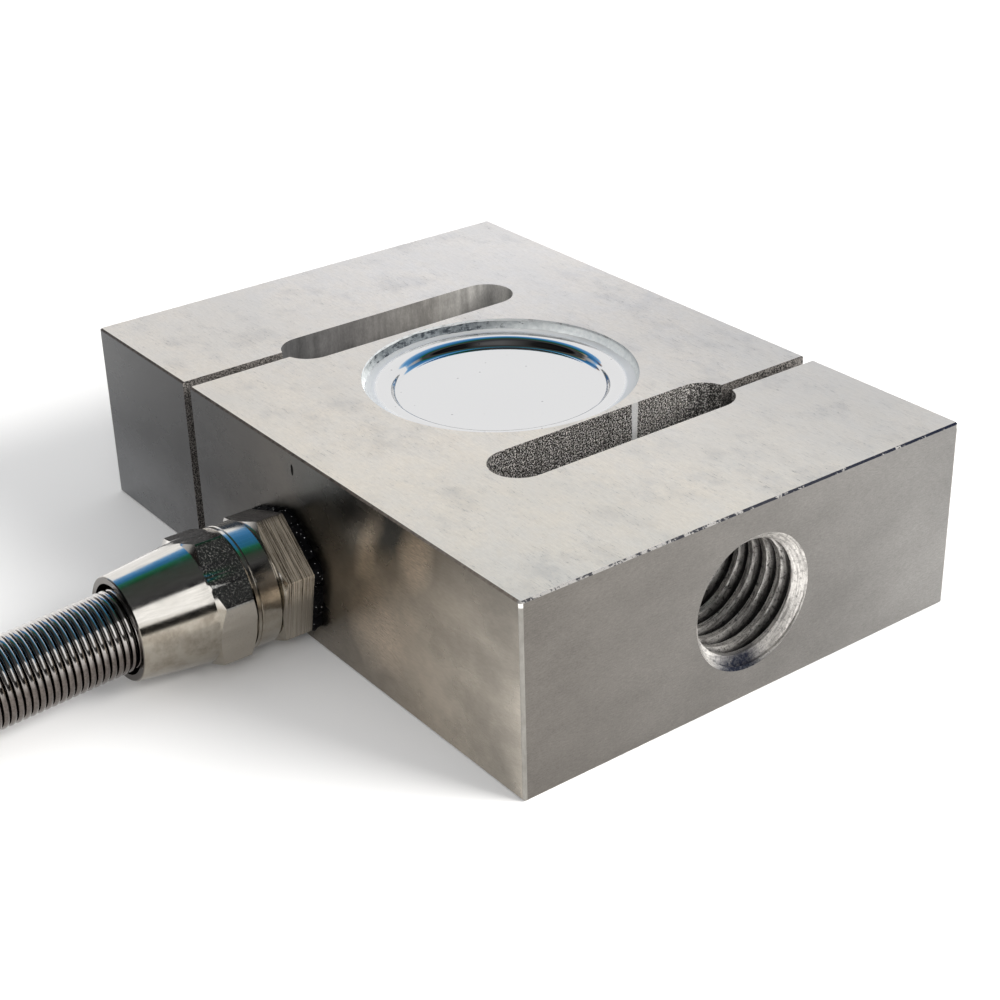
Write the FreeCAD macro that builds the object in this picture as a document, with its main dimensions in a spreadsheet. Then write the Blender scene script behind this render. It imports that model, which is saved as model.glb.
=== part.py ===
import FreeCAD, Part
import math
import os
import Sketcher
from FreeCAD import Placement, Rotation, Vector

# S type load cell, in millimetres, lying flat on one of its two broad faces.
# The origin is the centre of the block's bottom face. +Z is up, +X runs along the load
# axis, through the two tapped ends, and the cable gland points along -Y.
# Two slots, each open to one side through a narrow slit, leave the steel block as an S.
# Between them a blind pocket from each broad face leaves a thin web, which carries the
# strain gauges, and a pressed steel cover closes each pocket.

SIZES = [
    # The block
    ("block_length", 100.0, "over the two tapped ends"),
    ("block_width", 70.0, "over the two sides"),
    ("block_thick", 26.5, "over the two broad faces"),
    ("corner_round", 0.4, "radius of the four upright corners"),
    ("edge_break", 0.25, "chamfer round both broad faces"),
    ("first_slot_x", -24.0, "middle of the slot that opens to the gland's side"),
    ("first_slot_y", 0.0, "its place across the block"),
    ("second_slot_x", 23.45, "middle of the slot that opens to the far side"),
    ("second_slot_y", 0.6, "its place across the block"),
    ("slot_width", 8.2, "width of both slots"),
    ("slot_length", 38.8, "end to end, with its round ends"),
    ("slit_width", 2.05, "saw cut from a slot to its side"),
    ("tap_radius", 7.75, "tapping hole of the M18 thread"),
    ("tap_mouth_radius", 9.13, "countersink where the thread starts"),
    ("web_thick", 5.0, "what is left between the two pockets"),
    ("pocket_gap", 0.25, "round the pressed part of a cover"),
    ("web_hole_radius", 1.5, "for the upper gauge's wires"),
    ("web_hole_side", 9.0, "its place along the block"),
    ("web_hole_back", 8.0, "its place towards the gland"),
    # The covers
    ("seat_radius", 18.85, "the round seat in each broad face"),
    ("seat_gap", 0.15, "between the seat's wall and a cover"),
    ("cover_drop", 1.37, "broad face down to the rim"),
    ("cover_sheet", 0.5, "the pressed sheet's thickness"),
    ("dish_mouth_radius", 14.85, "top of the dish's wall"),
    ("dish_floor_radius", 14.2, "foot of the dish's wall"),
    ("dish_depth", 1.1, "rim down to the dish's floor"),
    ("bead_width", 0.8, "sealing bead on the rim"),
    ("bead_rise", 1.15, "sealing bead up the seat's wall"),
    # The gland, whose axis runs along -Y
    ("gland_height", 8.95, "bottom face up to the gland's axis"),
    ("port_radius", 6.0, "tapped port for the gland"),
    ("port_depth", 8.0, "how deep the port is"),
    ("wire_way_radius", 1.6, "from the port to the lower pocket"),
    ("thread_gap", 0.1, "between a screwed piece and its hole"),
    ("end_gap", 0.05, "between pieces that are screwed up tight"),
    ("gland_edge", 0.5, "chamfer on the gland's turned pieces"),
    ("cut_over", 1.0, "how far a bore is cut past a piece's end"),
    ("hex_across", 16.0, "over the flats of both hexagons"),
    ("hex_corner_round", 1.0, "radius of a hexagon's corners"),
    ("hex_face_radius", 7.85, "where a hexagon's turned chamfer starts"),
    ("hex_chamfer", 0.75, "its depth along the axis"),
    ("seal_thick", 1.33, "black seal between block and gland"),
    ("seal_across", 16.4, "over its flats"),
    ("seal_flat", 8.9, "axis down to the flat at its foot"),
    ("body_turn", 19.1, "angle of the gland body's first corner"),
    ("body_hex_length", 4.52, "gland body's hexagon"),
    ("shank_length", 7.5, "gland body in its port"),
    ("body_bore_radius", 3.0, "where the cable goes through"),
    ("body_thread_radius", 6.9, "thread for the cap"),
    ("body_thread_length", 7.5, "length of that thread"),
    ("chamber_radius", 4.8, "round the grommet"),
    ("grommet_flange_thick", 0.6, "flange at the grommet's mouth"),
    ("clamp_ring_thick", 1.0, "ring that presses the grommet"),
    ("clamp_bore_radius", 2.9, "hole in that ring"),
    ("cap_turn", 17.8, "angle of the cap's first corner"),
    ("cap_skirt_radius", 8.3, "round skirt of the cap"),
    ("cap_skirt_length", 3.51, "its length"),
    ("cap_line_depth", 0.15, "fine turned line round the skirt"),
    ("cap_line_place", 0.55, "hexagon back to that line"),
    ("cap_hex_length", 5.28, "cap's hexagon"),
    ("nose_length", 10.0, "tapered nose of the cap"),
    ("nose_root_radius", 8.1, "nose at the hexagon"),
    ("nose_tip_radius", 6.86, "nose at its tip"),
    ("nose_bore_radius", 5.9, "hole that holds the spring guard"),
    ("lip_thick", 1.4, "inner lip behind the spring guard"),
    ("lip_radius", 3.4, "hole in that lip"),
    # The spring guard, the cable and its end
    ("guard_radius", 5.35, "outside of the spring guard"),
    ("guard_wire", 1.05, "radial thickness of its flat wire"),
    ("guard_pitch", 0.97, "from turn to turn"),
    ("guard_length", 38.8, "from its root to its free end"),
    ("guard_root", 7.7, "how far its root is inside the nose"),
    ("guard_pivot", 2.7, "where it crosses the gland's axis"),
    ("guard_droop", 3.8, "angle that it hangs down by"),
    ("guard_notch", 0.24, "depth of the groove between turns"),
    ("cable_radius", 2.5, "outside of the cable's jacket"),
    ("grip_gap", 0.05, "between grommet and jacket"),
    ("coil_outer_turn", 37.2, "radius of the coil's outer turns"),
    ("coil_pitch", 5.05, "from one turn to the next outwards"),
    ("coil_columns", 4.0, "turns side by side"),
    ("coil_layers", 4.0, "turns on each other, the top ones one fewer"),
    ("coil_lead", 20.0, "straight piece that leads into the coil"),
    ("sleeve_radius", 2.75, "shrunk sleeve on the cable's end"),
    ("sleeve_angle", 22.0, "arc that the sleeve covers"),
    ("sleeve_gap", 0.08, "between the sleeve and the coil"),
    ("core_radius", 0.65, "an insulated core of the cable"),
    ("drain_radius", 0.4, "the screen's drain wire"),
    # The gauges and their wiring
    ("gauge_length", 9.0, "strain gauge along the block"),
    ("gauge_width", 7.0, "strain gauge across the block"),
    ("backing_thick", 0.15, "its backing"),
    ("grid_length", 3.4, "one slanting grid"),
    ("grid_width", 2.2, "its width"),
    ("grid_thick", 0.08, "its height over the backing"),
    ("coating_length", 7.6, "soft coating over the grids"),
    ("coating_width", 5.6, "its width"),
    ("coating_thick", 0.6, "its thickness"),
    ("board_length", 13.0, "solder terminal board"),
    ("board_width", 4.5, "its width"),
    ("board_thick", 0.8, "its thickness"),
    ("board_back", 9.5, "its middle, towards the gland"),
    ("pad_size", 1.3, "a solder pad"),
    ("pad_thick", 0.1, "its height"),
    ("resistor_radius", 0.8, "a trimming resistor"),
    ("resistor_length", 4.0, "its length"),
    ("resistor_side", 4.0, "its place either side of the middle"),
    ("resistor_back", 5.4, "its place away from the gland"),
    ("inner_core_radius", 0.5, "a cable core inside the block"),
    ("lead_radius", 0.15, "a gauge's lead wire"),
    ("lead_overlap", 0.4, "how far a lead lies on its gauge"),
    ("lead_loop", 1.2, "how far a lead loops away from the web"),
    ("lead_apart", 1.0, "between the two leads in the web's hole"),
    ("solder_gap", 0.02, "between a lead and what it is soldered to"),
]

HEX_ANGLE = 30
HALF_TURN = 180
FULL_TURN = 360
QUARTER_TURN = 90

# The cable's route down to the floor: how far each point is from the block's side, and
# its height
CABLE_ROUTE = [(50.5, 7.0), (65.0, 5.2), (77.0, 2.5), (86.0, 2.5)]
# How far from the block's side the jacket ends, inside the port, and the droop starts
JACKET_END = -6.0
DROOP_START = 22.0

# The open end of the cable: degrees past the sleeve, and how much further out and higher
# than at rest the cores are there
CORE_START = 0.8
CORE_BENDS = [(10, 0.3, 0.2), (24, 0.0, 0.0), (38, 0.1, 0.0)]
CORE_ENDS = {"red": 52, "black": 52, "green": 49, "white": 49}
# The same for the drain wire, which starts off the middle of the sleeve's end
DRAIN_BENDS = [(10, 0.5, 0.1), (24, 0.0, 0.0), (38, 0.1, 0.0)]
DRAIN_START = (1.7, -1.2)

# The four cores inside the block: across and up in the wire way, counted in core radii,
# and where their pads are, counted in half rows of pads
INNER_CORES = [(-1.5, 1.2, -1.0), (-0.75, -1.2, -0.5), (0.75, 1.2, 0.5), (1.5, -1.2, 1.0)]

doc = FreeCAD.newDocument("s_type_load_cell")
sheet = doc.addObject("Spreadsheet::Sheet", "Sizes")
pieces = []


def fill_sheet():
    """One row a size: its name, its value and what it is."""
    for row, (name, size_mm, meaning) in enumerate(SIZES, start=1):
        sheet.set(f"A{row}", name)
        sheet.set(f"B{row}", str(size_mm))
        sheet.set(f"C{row}", meaning)
        sheet.setAlias(f"B{row}", name)
    doc.recompute()


def value(expression):
    """The number that an expression in the sheet's names stands for."""
    return float(sheet.evalExpression(expression))


def size(name):
    return float(sheet.get(name))


def bind(thing, **expressions):
    """Ties properties to expressions; a double underscore in a name stands for a dot."""
    for name, expression in expressions.items():
        thing.setExpression(name.replace("__", "."), expression)


def keep(thing, label):
    """Names a finished sub-part and puts it on the list of what is written out."""
    thing.Label = label
    pieces.append(thing)
    return thing


# Sketches and the features made from them

def new_body(label):
    return keep(doc.addObject("PartDesign::Body", label), label)


def new_sketch(body, name, role, offset=None):
    """An empty sketch on one of the body's own origin planes, moved along its normal."""
    sketch = body.newObject("Sketcher::SketchObject", name)
    planes = [f for f in body.Origin.OriginFeatures if f.Role == role]
    sketch.AttachmentSupport = [(planes[0], "")]
    sketch.MapMode = "FlatFace"
    if offset:
        sketch.setExpression("AttachmentOffset.Base.z", offset)
    return sketch


def place_point(sketch, element, point, across, up, label):
    """Holds a point of the sketch at two expressions, measured from its origin."""
    for kind, axis, expression in (("DistanceX", -2, across), ("DistanceY", -1, up)):
        if expression == "0":
            sketch.addConstraint(Sketcher.Constraint("PointOnObject", element, point, axis))
            continue
        start = value(expression)
        number = sketch.addConstraint(
            Sketcher.Constraint(kind, -1, 1, element, point, start)
        )
        sketch.renameConstraint(number, f"{label}_{kind}")
        sketch.setExpression(f"Constraints.{label}_{kind}", expression)


def add_outline(sketch, points):
    """A closed outline of straight lines, each corner given by two expressions."""
    corners = [Vector(value(across), value(up), 0) for across, up in points]
    ends = corners[1:] + corners[:1]
    lines = [Part.LineSegment(a, b) for a, b in zip(corners, ends)]
    sketch.addGeometry(lines, False)
    count = len(points)
    for index in range(count):
        following = (index + 1) % count
        sketch.addConstraint(
            Sketcher.Constraint("Coincident", index, 2, following, 1)
        )
    for index, (across, up) in enumerate(points):
        place_point(sketch, index, 1, across, up, f"corner{index}")


def add_circle(sketch, across, up, radius):
    """A circle whose middle and radius are given by expressions."""
    middle = Vector(value(across), value(up), 0)
    circle = Part.Circle(middle, Vector(0, 0, 1), value(radius))
    element = sketch.addGeometry(circle, False)
    place_point(sketch, element, 3, across, up, f"middle{element}")
    number = sketch.addConstraint(Sketcher.Constraint("Radius", element, value(radius)))
    sketch.renameConstraint(number, f"radius{element}")
    sketch.setExpression(f"Constraints.radius{element}", radius)


def add_slot(sketch, across, up, width, length):
    """An upright slot with full round ends, its middle across and up from the origin."""
    radius = value(width) / 2
    side = value(across)
    reach = value(length) / 2 - radius
    high, low = value(up) + reach, value(up) - reach
    top = Part.Circle(Vector(side, high, 0), Vector(0, 0, 1), radius)
    foot = Part.Circle(Vector(side, low, 0), Vector(0, 0, 1), radius)
    right = Part.LineSegment(Vector(side + radius, low, 0), Vector(side + radius, high, 0))
    left = Part.LineSegment(Vector(side - radius, high, 0), Vector(side - radius, low, 0))
    outline = [
        right,
        Part.ArcOfCircle(top, 0, math.pi),
        left,
        Part.ArcOfCircle(foot, math.pi, 2 * math.pi),
    ]
    sketch.addGeometry(outline, False)
    for before, after in ((0, 1), (1, 2), (2, 3), (3, 0)):
        sketch.addConstraint(Sketcher.Constraint("Tangent", before, 2, after, 1))
    sketch.addConstraint(Sketcher.Constraint("Vertical", 0))
    end = f"({length} / 2 - {width} / 2)"
    place_point(sketch, 1, 3, across, f"{up} + {end}", "top")
    place_point(sketch, 3, 3, across, f"{up} - {end}", "foot")
    number = sketch.addConstraint(Sketcher.Constraint("Radius", 1, radius))
    sketch.renameConstraint(number, "end_radius")
    sketch.setExpression("Constraints.end_radius", f"{width} / 2")


def changed_volume(body, before, name, grows):
    """Stops with a message if a feature added or cut nothing."""
    doc.recompute()
    change = body.Shape.Volume - before
    if change * (1 if grows else -1) <= 0:
        raise RuntimeError(f"{name} changed the volume by {change:.4f}")


def extrude(body, kind, name, sketch, length, both_ways=False, backwards=False):
    """Pads or pockets a sketch by an expression, and checks that it did something."""
    doc.recompute()
    before = 0.0 if body.Shape.isNull() else body.Shape.Volume
    feature = body.newObject(f"PartDesign::{kind}", name)
    feature.Profile = sketch
    feature.Type = 0
    feature.Midplane = both_ways
    feature.Reversed = backwards
    feature.setExpression("Length", length)
    sketch.Visibility = False
    changed_volume(body, before, name, kind == "Pad")
    return feature


def turn(body, kind, name, points):
    """Turns an outline in the XZ plane round the body's Z axis, as a lathe would."""
    sketch = new_sketch(body, f"{name}_outline", "XZ_Plane")
    add_outline(sketch, points)
    doc.recompute()
    before = 0.0 if body.Shape.isNull() else body.Shape.Volume
    feature = body.newObject(f"PartDesign::{kind}", name)
    feature.Profile = sketch
    feature.ReferenceAxis = (sketch, ["V_Axis"])
    feature.Angle = FULL_TURN
    changed_volume(body, before, name, kind == "Revolution")
    return feature


def repeat(body, kind, name, originals, **settings):
    """A pattern or a mirror image of some features, which becomes the body's tip."""
    doc.recompute()
    before = body.Shape.Volume
    feature = body.newObject(f"PartDesign::{kind}", name)
    feature.Originals = originals
    for setting, given in settings.items():
        setattr(feature, setting, given)
    body.Tip = feature
    changed_volume(body, before, name, False)
    return feature


def dress(body, kind, name, base, edge_names, expression):
    """A fillet or a chamfer on edges of a feature."""
    feature = body.newObject(f"PartDesign::{kind}", name)
    feature.Base = (base, edge_names)
    feature.setExpression("Radius" if kind == "Fillet" else "Size", expression)
    doc.recompute()
    return feature


def edges_where(shape, wanted):
    return [f"Edge{n}" for n, edge in enumerate(shape.Edges, start=1) if wanted(edge)]


def is_upright(edge):
    low, high = edge.Vertexes[0].Point, edge.Vertexes[-1].Point
    return math.hypot(high.x - low.x, high.y - low.y) < 1e-6 and high.z != low.z


def origin_part(body, role):
    return [f for f in body.Origin.OriginFeatures if f.Role == role][0]


# The steel block

def make_block():
    """The body is drawn round its own middle, and its placement lifts it by half."""
    body = new_body("body_block")
    bind(body, Placement__Base__z="Sizes.block_thick / 2")
    outline = new_sketch(body, "block_outline", "XY_Plane")
    half_x = "Sizes.block_length / 2"
    half_y = "Sizes.block_width / 2"
    add_outline(
        outline,
        [
            (f"-{half_x}", f"-{half_y}"),
            (half_x, f"-{half_y}"),
            (half_x, half_y),
            (f"-{half_x}", half_y),
        ],
    )
    blank = extrude(body, "Pad", "blank", outline, "Sizes.block_thick", both_ways=True)
    corners = edges_where(blank.Shape, is_upright)
    rounded = dress(body, "Fillet", "corners", blank, corners, "Sizes.corner_round")
    rims = edges_where(
        rounded.Shape, lambda edge: edge.BoundBox.ZLength < 1e-6
    )
    dress(body, "Chamfer", "broken_edges", rounded, rims, "Sizes.edge_break")
    cut_slots(body)
    cut_pockets(body)
    cut_tapped_ends(body)
    cut_gland_port(body)


def cut_slots(body):
    """The two slots, the first open to the gland's side and the second to the far side."""
    through = "Sizes.block_thick * 2"
    for name, outwards in (("first", "-"), ("second", "")):
        across, up = f"Sizes.{name}_slot_x", f"Sizes.{name}_slot_y"
        slot_sketch = new_sketch(body, f"{name}_slot_outline", "XY_Plane")
        add_slot(slot_sketch, across, up, "Sizes.slot_width", "Sizes.slot_length")
        extrude(body, "Pocket", f"{name}_slot", slot_sketch, through, both_ways=True)
        slit_sketch = new_sketch(body, f"{name}_slit_outline", "XY_Plane")
        left = f"{across} - Sizes.slit_width / 2"
        right = f"{across} + Sizes.slit_width / 2"
        inner = f"{outwards}(Sizes.slot_length / 2 - Sizes.slot_width / 2) + {up}"
        outer = f"{outwards}Sizes.block_width"
        corners = [(left, outer), (right, outer), (right, inner), (left, inner)]
        if outwards == "":
            corners.reverse()
        add_outline(slit_sketch, corners)
        extrude(body, "Pocket", f"{name}_slit", slit_sketch, through, both_ways=True)


def cut_pockets(body):
    """The cover's seat and the pocket under it, from both broad faces, and a hole."""
    depth_of_pocket = "(Sizes.block_thick - Sizes.web_thick) / 2"
    depth_of_seat = "Sizes.cover_drop + Sizes.cover_sheet"
    pocket_radius = "Sizes.dish_mouth_radius + Sizes.cover_sheet + Sizes.pocket_gap"
    top = "Sizes.block_thick / 2"
    cuts = []
    for name, radius, depth in (
        ("seat", "Sizes.seat_radius", depth_of_seat),
        ("pocket", pocket_radius, depth_of_pocket),
    ):
        sketch = new_sketch(body, f"{name}_outline", "XY_Plane", offset=top)
        add_circle(sketch, "0", "0", radius)
        cuts.append(extrude(body, "Pocket", name, sketch, depth))
    repeat(
        body,
        "Mirrored",
        "seats_and_pockets",
        cuts,
        MirrorPlane=(origin_part(body, "XY_Plane"), [""]),
    )
    hole = new_sketch(body, "web_hole_outline", "XY_Plane")
    add_circle(
        hole, "Sizes.web_hole_side", "-Sizes.web_hole_back", "Sizes.web_hole_radius"
    )
    extrude(body, "Pocket", "web_hole", hole, "Sizes.web_thick * 2", both_ways=True)


def cut_tapped_ends(body):
    """A tapping hole with a countersink, from the end face into the slot, and its twin."""
    face = "Sizes.block_length / 2"
    sketch = new_sketch(body, "tapped_end_outline", "XZ_Plane")
    countersink = f"{face} - (Sizes.tap_mouth_radius - Sizes.tap_radius)"
    inside = "-Sizes.first_slot_x"
    add_outline(
        sketch,
        [
            (inside, "0"),
            (face, "0"),
            (face, "Sizes.tap_mouth_radius"),
            (countersink, "Sizes.tap_radius"),
            (inside, "Sizes.tap_radius"),
        ],
    )
    doc.recompute()
    before = body.Shape.Volume
    hole = body.newObject("PartDesign::Groove", "tapped_end")
    hole.Profile = sketch
    hole.ReferenceAxis = (sketch, ["H_Axis"])
    hole.Angle = FULL_TURN
    changed_volume(body, before, "tapped_end", False)
    repeat(
        body,
        "Mirrored",
        "tapped_ends",
        [hole],
        MirrorPlane=(origin_part(body, "YZ_Plane"), [""]),
    )


def cut_gland_port(body):
    """The gland's port in the -Y side, and the wire way from it to the lower pocket."""
    side = "Sizes.block_width / 2"
    up = "Sizes.gland_height - Sizes.block_thick / 2"
    into_pocket = "Sizes.block_width / 2 - Sizes.dish_floor_radius"
    for name, radius, depth in (
        ("port", "Sizes.port_radius", "Sizes.port_depth"),
        ("wire_way", "Sizes.wire_way_radius", into_pocket),
    ):
        sketch = new_sketch(body, f"{name}_outline", "XZ_Plane", offset=side)
        add_circle(sketch, "0", up, radius)
        extrude(body, "Pocket", name, sketch, depth)


# The covers and their sealing beads: each is drawn down from a broad face at z = 0

def set_on_face(body, upper):
    """Puts a piece at the upper broad face, or turned over at the lower one."""
    if upper:
        bind(body, Placement__Base__z="Sizes.block_thick")
    else:
        body.Placement = Placement(Vector(), Rotation(Vector(1, 0, 0), HALF_TURN))


def make_cover(label, upper):
    """A pressed sheet: a flat rim in the seat and a shallow dish inside it."""
    body = new_body(label)
    set_on_face(body, upper)
    rim = "Sizes.seat_radius - Sizes.seat_gap"
    sheet_mm = "Sizes.cover_sheet"
    rim_top = "-Sizes.cover_drop"
    floor_top = "-(Sizes.cover_drop + Sizes.dish_depth)"
    rim_foot = f"{rim_top} - {sheet_mm}"
    floor_foot = f"{floor_top} - {sheet_mm}"
    slope = "(Sizes.dish_mouth_radius - Sizes.dish_floor_radius)"
    wall = f"sqrt({slope} ^ 2 + Sizes.dish_depth ^ 2)"
    outward = f"{sheet_mm} * ({wall} - {slope}) / Sizes.dish_depth"
    turn(
        body,
        "Revolution",
        f"{label}_sheet",
        [
            ("0", floor_foot),
            (f"Sizes.dish_floor_radius + {outward}", floor_foot),
            (f"Sizes.dish_mouth_radius + {outward}", rim_foot),
            (rim, rim_foot),
            (rim, rim_top),
            ("Sizes.dish_mouth_radius", rim_top),
            ("Sizes.dish_floor_radius", floor_top),
            ("0", floor_top),
        ],
    )


def make_bead(label, upper):
    """A bead of sealant in the corner between the cover's rim and the seat's wall."""
    body = new_body(label)
    set_on_face(body, upper)
    wall = "Sizes.seat_radius"
    rim = "-Sizes.cover_drop"
    turn(
        body,
        "Revolution",
        f"{label}_ring",
        [
            (f"{wall} - Sizes.bead_width", rim),
            (wall, rim),
            (wall, f"{rim} + Sizes.bead_rise"),
        ],
    )


# The gauges and their wiring, on the web between the pockets

def set_on_web(thing, upper):
    """Puts a piece on the web's upper side, or turned over on its lower side."""
    if upper:
        bind(thing, Placement__Base__z="(Sizes.block_thick + Sizes.web_thick) / 2")
    else:
        thing.Placement = Placement(Vector(), Rotation(Vector(1, 0, 0), HALF_TURN))
        bind(thing, Placement__Base__z="(Sizes.block_thick - Sizes.web_thick) / 2")


def add_block_of(body, name, length, width, thick, foot="0", turned=0, x="0", y="0"):
    """A rectangular plate whose middle is at x and y and whose foot is at a height."""
    plate = body.newObject("PartDesign::AdditiveBox", name)
    plate.AttachmentSupport = [(origin_part(body, "XY_Plane"), "")]
    plate.MapMode = "FlatFace"
    spin = Rotation(Vector(0, 0, 1), turned)
    plate.AttachmentOffset = Placement(Vector(), spin)
    cos, sin = math.cos(math.radians(turned)), math.sin(math.radians(turned))
    bind(
        plate,
        Length=length,
        Width=width,
        Height=thick,
        AttachmentOffset__Base__x=f"{x} - {cos} * {length} / 2 + {sin} * {width} / 2",
        AttachmentOffset__Base__y=f"{y} - {sin} * {length} / 2 - {cos} * {width} / 2",
        AttachmentOffset__Base__z=foot,
    )
    return plate


def make_gauge(label, upper):
    """A shear gauge: a thin backing with two grids that slant opposite ways."""
    body = new_body(label)
    set_on_web(body, upper)
    add_block_of(
        body, f"{label}_backing", "Sizes.gauge_length", "Sizes.gauge_width",
        "Sizes.backing_thick",
    )
    slant = 45
    for name, side, turned in (("left", "-", slant), ("right", "", -slant)):
        add_block_of(
            body, f"{label}_{name}_grid", "Sizes.grid_length", "Sizes.grid_width",
            "Sizes.grid_thick", foot="Sizes.backing_thick", turned=turned,
            x=f"{side}Sizes.gauge_length / 4",
        )


def make_coating(label, upper):
    """A soft pad that keeps damp off the grids."""
    body = new_body(label)
    set_on_web(body, upper)
    pad = add_block_of(
        body, f"{label}_pad", "Sizes.coating_length", "Sizes.coating_width",
        "Sizes.coating_thick", foot="Sizes.backing_thick + Sizes.grid_thick",
    )
    doc.recompute()
    uprights = edges_where(pad.Shape, is_upright)
    dress(body, "Fillet", f"{label}_corners", pad, uprights, "Sizes.coating_width / 5")


def make_terminal_board():
    """A small board on the lower side of the web, with a row of solder pads."""
    body = new_body("terminal_board")
    set_on_web(body, False)
    add_block_of(
        body, "board", "Sizes.board_length", "Sizes.board_width", "Sizes.board_thick",
        y="Sizes.board_back",
    )
    pad = add_block_of(
        body, "solder_pad", "Sizes.pad_size", "Sizes.pad_size", "Sizes.pad_thick",
        foot="Sizes.board_thick", x="-Sizes.board_length / 2 + Sizes.pad_size",
        y="Sizes.board_back - Sizes.board_width / 4",
    )
    doc.recompute()
    row = body.newObject("PartDesign::LinearPattern", "solder_pads")
    row.Originals = [pad]
    row.Direction = (origin_part(body, "X_Axis"), [""])
    bind(row, Length="Sizes.board_length - 2 * Sizes.pad_size")
    row.Occurrences = 5
    body.Tip = row
    doc.recompute()


def make_resistor(label, side):
    """A trimming resistor, lying on the web."""
    body = new_body(label)
    lie = Rotation(Vector(0, 1, 0), QUARTER_TURN)
    body.Placement = Placement(Vector(), lie)
    bind(
        body,
        Placement__Base__x=f"{side} * Sizes.resistor_side - Sizes.resistor_length / 2",
        Placement__Base__y="Sizes.resistor_back",
        Placement__Base__z="(Sizes.block_thick - Sizes.web_thick) / 2"
        " - Sizes.resistor_radius",
    )
    turn(
        body,
        "Revolution",
        f"{label}_barrel",
        [
            ("0", "0"),
            ("Sizes.resistor_radius", "0"),
            ("Sizes.resistor_radius", "Sizes.resistor_length"),
            ("0", "Sizes.resistor_length"),
        ],
    )


# The cable gland: each piece is drawn up from the block's side at z = 0

def set_in_gland(body):
    """Turns a piece's Z axis to -Y and puts it on the gland's axis."""
    body.Placement = Placement(Vector(), Rotation(Vector(1, 0, 0), QUARTER_TURN))
    bind(
        body,
        Placement__Base__y="-Sizes.block_width / 2",
        Placement__Base__z="Sizes.gland_height",
    )


def add_hexagon(body, name, across, foot, length, turned):
    """A hexagonal bar with rounded corners."""
    bar = body.newObject("PartDesign::AdditivePrism", name)
    bar.AttachmentSupport = [(origin_part(body, "XY_Plane"), "")]
    bar.MapMode = "FlatFace"
    bar.AttachmentOffset = Placement(Vector(), Rotation(Vector(0, 0, 1), 1))
    bar.Polygon = 6
    bind(
        bar,
        Circumradius=f"{across} / 2 / cos({HEX_ANGLE} deg)",
        Height=length,
        AttachmentOffset__Base__z=foot,
        AttachmentOffset__Rotation__Angle=f"{turned} * 1 deg",
    )
    doc.recompute()
    corners = edges_where(bar.Shape, is_upright)
    return dress(
        body, "Fillet", f"{name}_corners", bar, corners, "Sizes.hex_corner_round"
    )


def turn_chamfer(body, name, face, inwards):
    """Turns the corners of a hexagon down at one of its two faces."""
    start = "Sizes.hex_face_radius"
    outside = "Sizes.hex_across"
    corner = f"{outside} / 2 / cos({HEX_ANGLE} deg)"
    slope = f"Sizes.hex_chamfer * ({outside} - {start}) / ({corner} - {start})"
    turn(
        body,
        "Groove",
        name,
        [(start, face), (outside, face), (outside, f"{face} {inwards} {slope}")],
    )


GLAND_SEAT = "Sizes.seal_thick"
BODY_HEX_END = f"{GLAND_SEAT} + Sizes.body_hex_length"
BODY_END = f"{BODY_HEX_END} + Sizes.body_thread_length"
SKIRT_START = f"{BODY_HEX_END} + 2 * Sizes.end_gap"
CAP_HEX_START = f"{SKIRT_START} + Sizes.cap_skirt_length"
CAP_HEX_END = f"{CAP_HEX_START} + Sizes.cap_hex_length"
NOSE_END = f"{CAP_HEX_END} + Sizes.nose_length"
FLANGE_END = f"{BODY_END} + Sizes.end_gap + Sizes.grommet_flange_thick"
RING_START = f"{FLANGE_END} + Sizes.end_gap"
RING_END = f"{RING_START} + Sizes.clamp_ring_thick"
LIP_START = f"{RING_END} + Sizes.end_gap"
LIP_END = f"{LIP_START} + Sizes.lip_thick"


def make_gland_seal():
    """The black seal squeezed between the block and the gland, flat at its foot."""
    body = new_body("gland_seal")
    set_in_gland(body)
    add_hexagon(
        body, "seal_blank", "Sizes.seal_across", "0", "Sizes.seal_thick",
        "Sizes.body_turn",
    )
    hole = new_sketch(body, "seal_hole_outline", "XY_Plane")
    add_circle(hole, "0", "0", "Sizes.port_radius + Sizes.thread_gap")
    through = "Sizes.seal_thick * 3"
    extrude(body, "Pocket", "seal_hole", hole, through, both_ways=True)
    foot = new_sketch(body, "seal_foot_outline", "XY_Plane")
    wide = "Sizes.seal_across"
    add_outline(
        foot,
        [
            (f"-{wide}", f"-{wide}"),
            (wide, f"-{wide}"),
            (wide, "-Sizes.seal_flat"),
            (f"-{wide}", "-Sizes.seal_flat"),
        ],
    )
    extrude(body, "Pocket", "seal_foot", foot, through, both_ways=True)


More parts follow.
